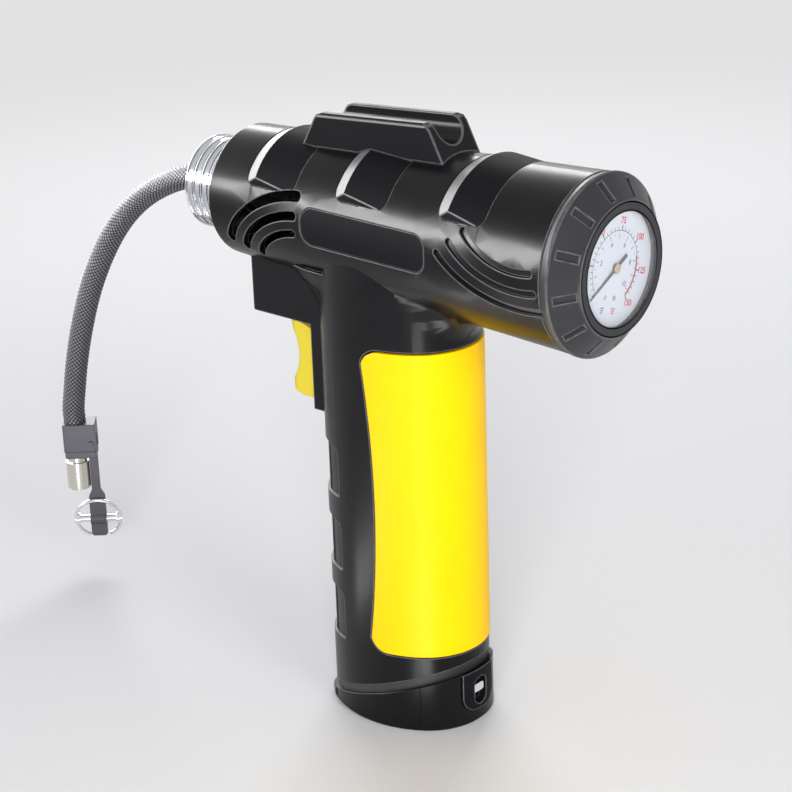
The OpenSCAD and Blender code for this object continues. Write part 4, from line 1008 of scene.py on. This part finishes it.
def coil(name, node, body, axis, wire, turns):
    """A wound spring in the room of its CAD sleeve."""
    low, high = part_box(node)
    middle = (low + high) / 2
    size = high - low
    k = "XYZ".index(axis)
    across, beside = [i for i in range(3) if i != k]
    radius = min(size[across], size[beside]) / 2 - wire
    length = size[k] - 2 * wire
    steps = turns * STEPS_PER_TURN
    centres = []
    for i in range(steps + 1):
        t = i / steps
        a = 2 * math.pi * turns * t
        eased = 0.5 - 0.5 * math.cos(math.pi * t)
        point = middle.copy()
        point[k] = low[k] + wire + length * (END_PITCH * t + (1 - END_PITCH) * eased)
        point[across] += radius * math.cos(a)
        point[beside] += radius * math.sin(a)
        centres.append(point)
    side = Vector([1.0 if i == k else 0.0 for i in range(3)])
    spring = sweep(name, centres, lambda i, j: wire, WIRE_SIDES, side)
    place(spring, body, "steel", MATERIALS["steel"], node)
    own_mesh(spring)


coil("trigger_coil", "trigger_spring", "body", axis="X", wire=0.35 * MM, turns=7)
coil("release_coil", "release_spring", "battery", axis="Z", wire=0.25 * MM, turns=5)


# ---------------------------------------------------------------- stage
PALE_TONE = (0.76, 0.76, 0.77, 1)
FADE_FROM, FADE_TO = 0.25, 1.1
FLOOR_HALF = 6.0
FLOOR_Z = -0.2 * MM


def shows_background(tree):
    """1 where a ray shows the background: from the camera, off gloss or through glass."""
    path = add_node(tree, "ShaderNodeLightPath")
    shown = path.outputs["Is Camera Ray"]
    for kind in ("Is Glossy Ray", "Is Transmission Ray"):
        shown = math_node(tree, "MAXIMUM", shown, path.outputs[kind])
    return shown


def even_out(material):
    """Far from the object the floor is seen at one pale tone, so that it runs into the back."""
    tree = material.node_tree
    place_in = add_node(tree, "ShaderNodeTexCoord").outputs["Object"]
    away = add_node(tree, "ShaderNodeVectorMath", operation="LENGTH", Vector=place_in)
    fade = add_node(
        tree, "ShaderNodeMapRange", interpolation_type="SMOOTHSTEP",
        Value=away.outputs["Value"], From_Min=FADE_FROM, From_Max=FADE_TO,
    )
    seen = math_node(tree, "MULTIPLY", fade.outputs["Result"], shows_background(tree))
    finish = tree.nodes["Principled BSDF"].outputs["BSDF"]
    pale = add_node(tree, "ShaderNodeEmission", Color=PALE_TONE).outputs["Emission"]
    surface = mix_shaders(tree, seen, finish, pale)
    feed(tree, tree.nodes["Material Output"].inputs["Surface"], surface)


def make_stage():
    """A pale floor, large enough for every view."""
    corners = [(-1, -1), (1, -1), (1, 1), (-1, 1)]
    points = [(x * FLOOR_HALF, y * FLOOR_HALF, 0) for x, y in corners]
    floor = add_mesh("floor", points, [(0, 1, 2, 3)], smooth=False)
    floor.location.z = FLOOR_Z
    finish = finish_material(
        "pale_floor", (0.74, 0.74, 0.75), 0.55, mottle=0.006, mottle_scale=3.0, specular=0.0,
        grain=0.01 * MM, grain_scale=600.0,
    )
    even_out(finish)
    floor.data.materials.append(finish)


# ---------------------------------------------------------------- light
# Each soft box is a name, a place, a width, a height and a power. Those at the sides only gleam
# in gloss, and the others only fill matte faces. All of them face the middle of the object.
LIT_POINT = (0.0, 0.0, 0.17)
GLEAM_BOXES = (
    ("key_left", (-0.62, -0.78, 0.40), 0.5, 0.2, 14.5),
    ("nose_side", (-1.0, 0.1, 0.42), 1.25, 0.45, 14.0),
    ("back_rim", (-0.74, 0.84, 0.64), 0.5, 0.2, 4.0),
)
FILL_BOXES = (
    ("top", (-0.1, -0.1, 1.7), 1.2, 1.2, 2.5),
    ("front", (0.75, -1.0, 0.5), 0.5, 0.4, 16.0),
    ("back_fill", (-0.8, 0.9, 0.8), 1.0, 0.8, 16.0),
    ("dial_side", (1.2, -0.3, 0.5), 0.5, 0.4, 6.0),
)

# Cards that lie just over the floor and gleam in the neck, the foot and the hose: a name, X, Y,
# a width, a depth and a power. They face nearly straight up.
FLOOR_CARDS = (
    ("neck_card", 0.22, -0.29, 0.1, 0.22, 0.7),
    ("foot_card", 0.066, -0.086, 0.026, 0.1, 0.09),
    ("hose_card", -0.04, -0.17, 0.05, 0.2, 0.22),
)
CARD_HEIGHT = 0.005
CARD_LEAN = (-0.03, 0.04)  # at a height of 1 m

SURROUND_COLOR = (0.9, 0.92, 0.96, 1)
SURROUND_STRENGTH = 0.2


def soft_box(name, at, toward, width, height, power, gleams):
    """A rectangular area light that gleams in gloss or fills matte faces, out of sight itself."""
    data = bpy.data.lights.new(name, "AREA")
    data.shape = "RECTANGLE"
    data.size, data.size_y = width, height
    data.energy = power
    light = add_object(name, data)
    light.location = at
    aim = Vector(toward) - Vector(at)
    light.rotation_mode = "QUATERNION"
    light.rotation_quaternion = aim.to_track_quat("-Z", "Y")
    light.visible_camera = False
    light.visible_diffuse = not gleams
    light.visible_glossy = gleams


def make_lamps():
    """The soft boxes and the floor cards."""
    for name, at, width, height, power in GLEAM_BOXES:
        soft_box(name, at, LIT_POINT, width, height, power, gleams=True)
    for name, x, y, width, depth, power in FLOOR_CARDS:
        over = (x + CARD_LEAN[0], y + CARD_LEAN[1], 1.0)
        soft_box(name, (x, y, CARD_HEIGHT), over, width, depth, power, gleams=True)
    for name, at, width, height, power in FILL_BOXES:
        soft_box(name, at, LIT_POINT, width, height, power, gleams=False)


def make_world():
    """A dim surround that lights the object, and the pale background that is seen instead."""
    world = bpy.data.worlds.new("studio")
    bpy.context.scene.world = world
    world.use_nodes = True
    tree = world.node_tree
    surround = tree.nodes["Background"]
    surround.inputs["Color"].default_value = SURROUND_COLOR
    surround.inputs["Strength"].default_value = SURROUND_STRENGTH
    seen = add_node(tree, "ShaderNodeBackground", Color=PALE_TONE, Strength=1.0)
    outputs = surround.outputs["Background"], seen.outputs["Background"]
    surface = mix_shaders(tree, shows_background(tree), *outputs)
    feed(tree, tree.nodes["World Output"].inputs["Surface"], surface)


make_stage()
make_lamps()
make_world()
bpy.context.scene.view_settings.view_transform = "Standard"
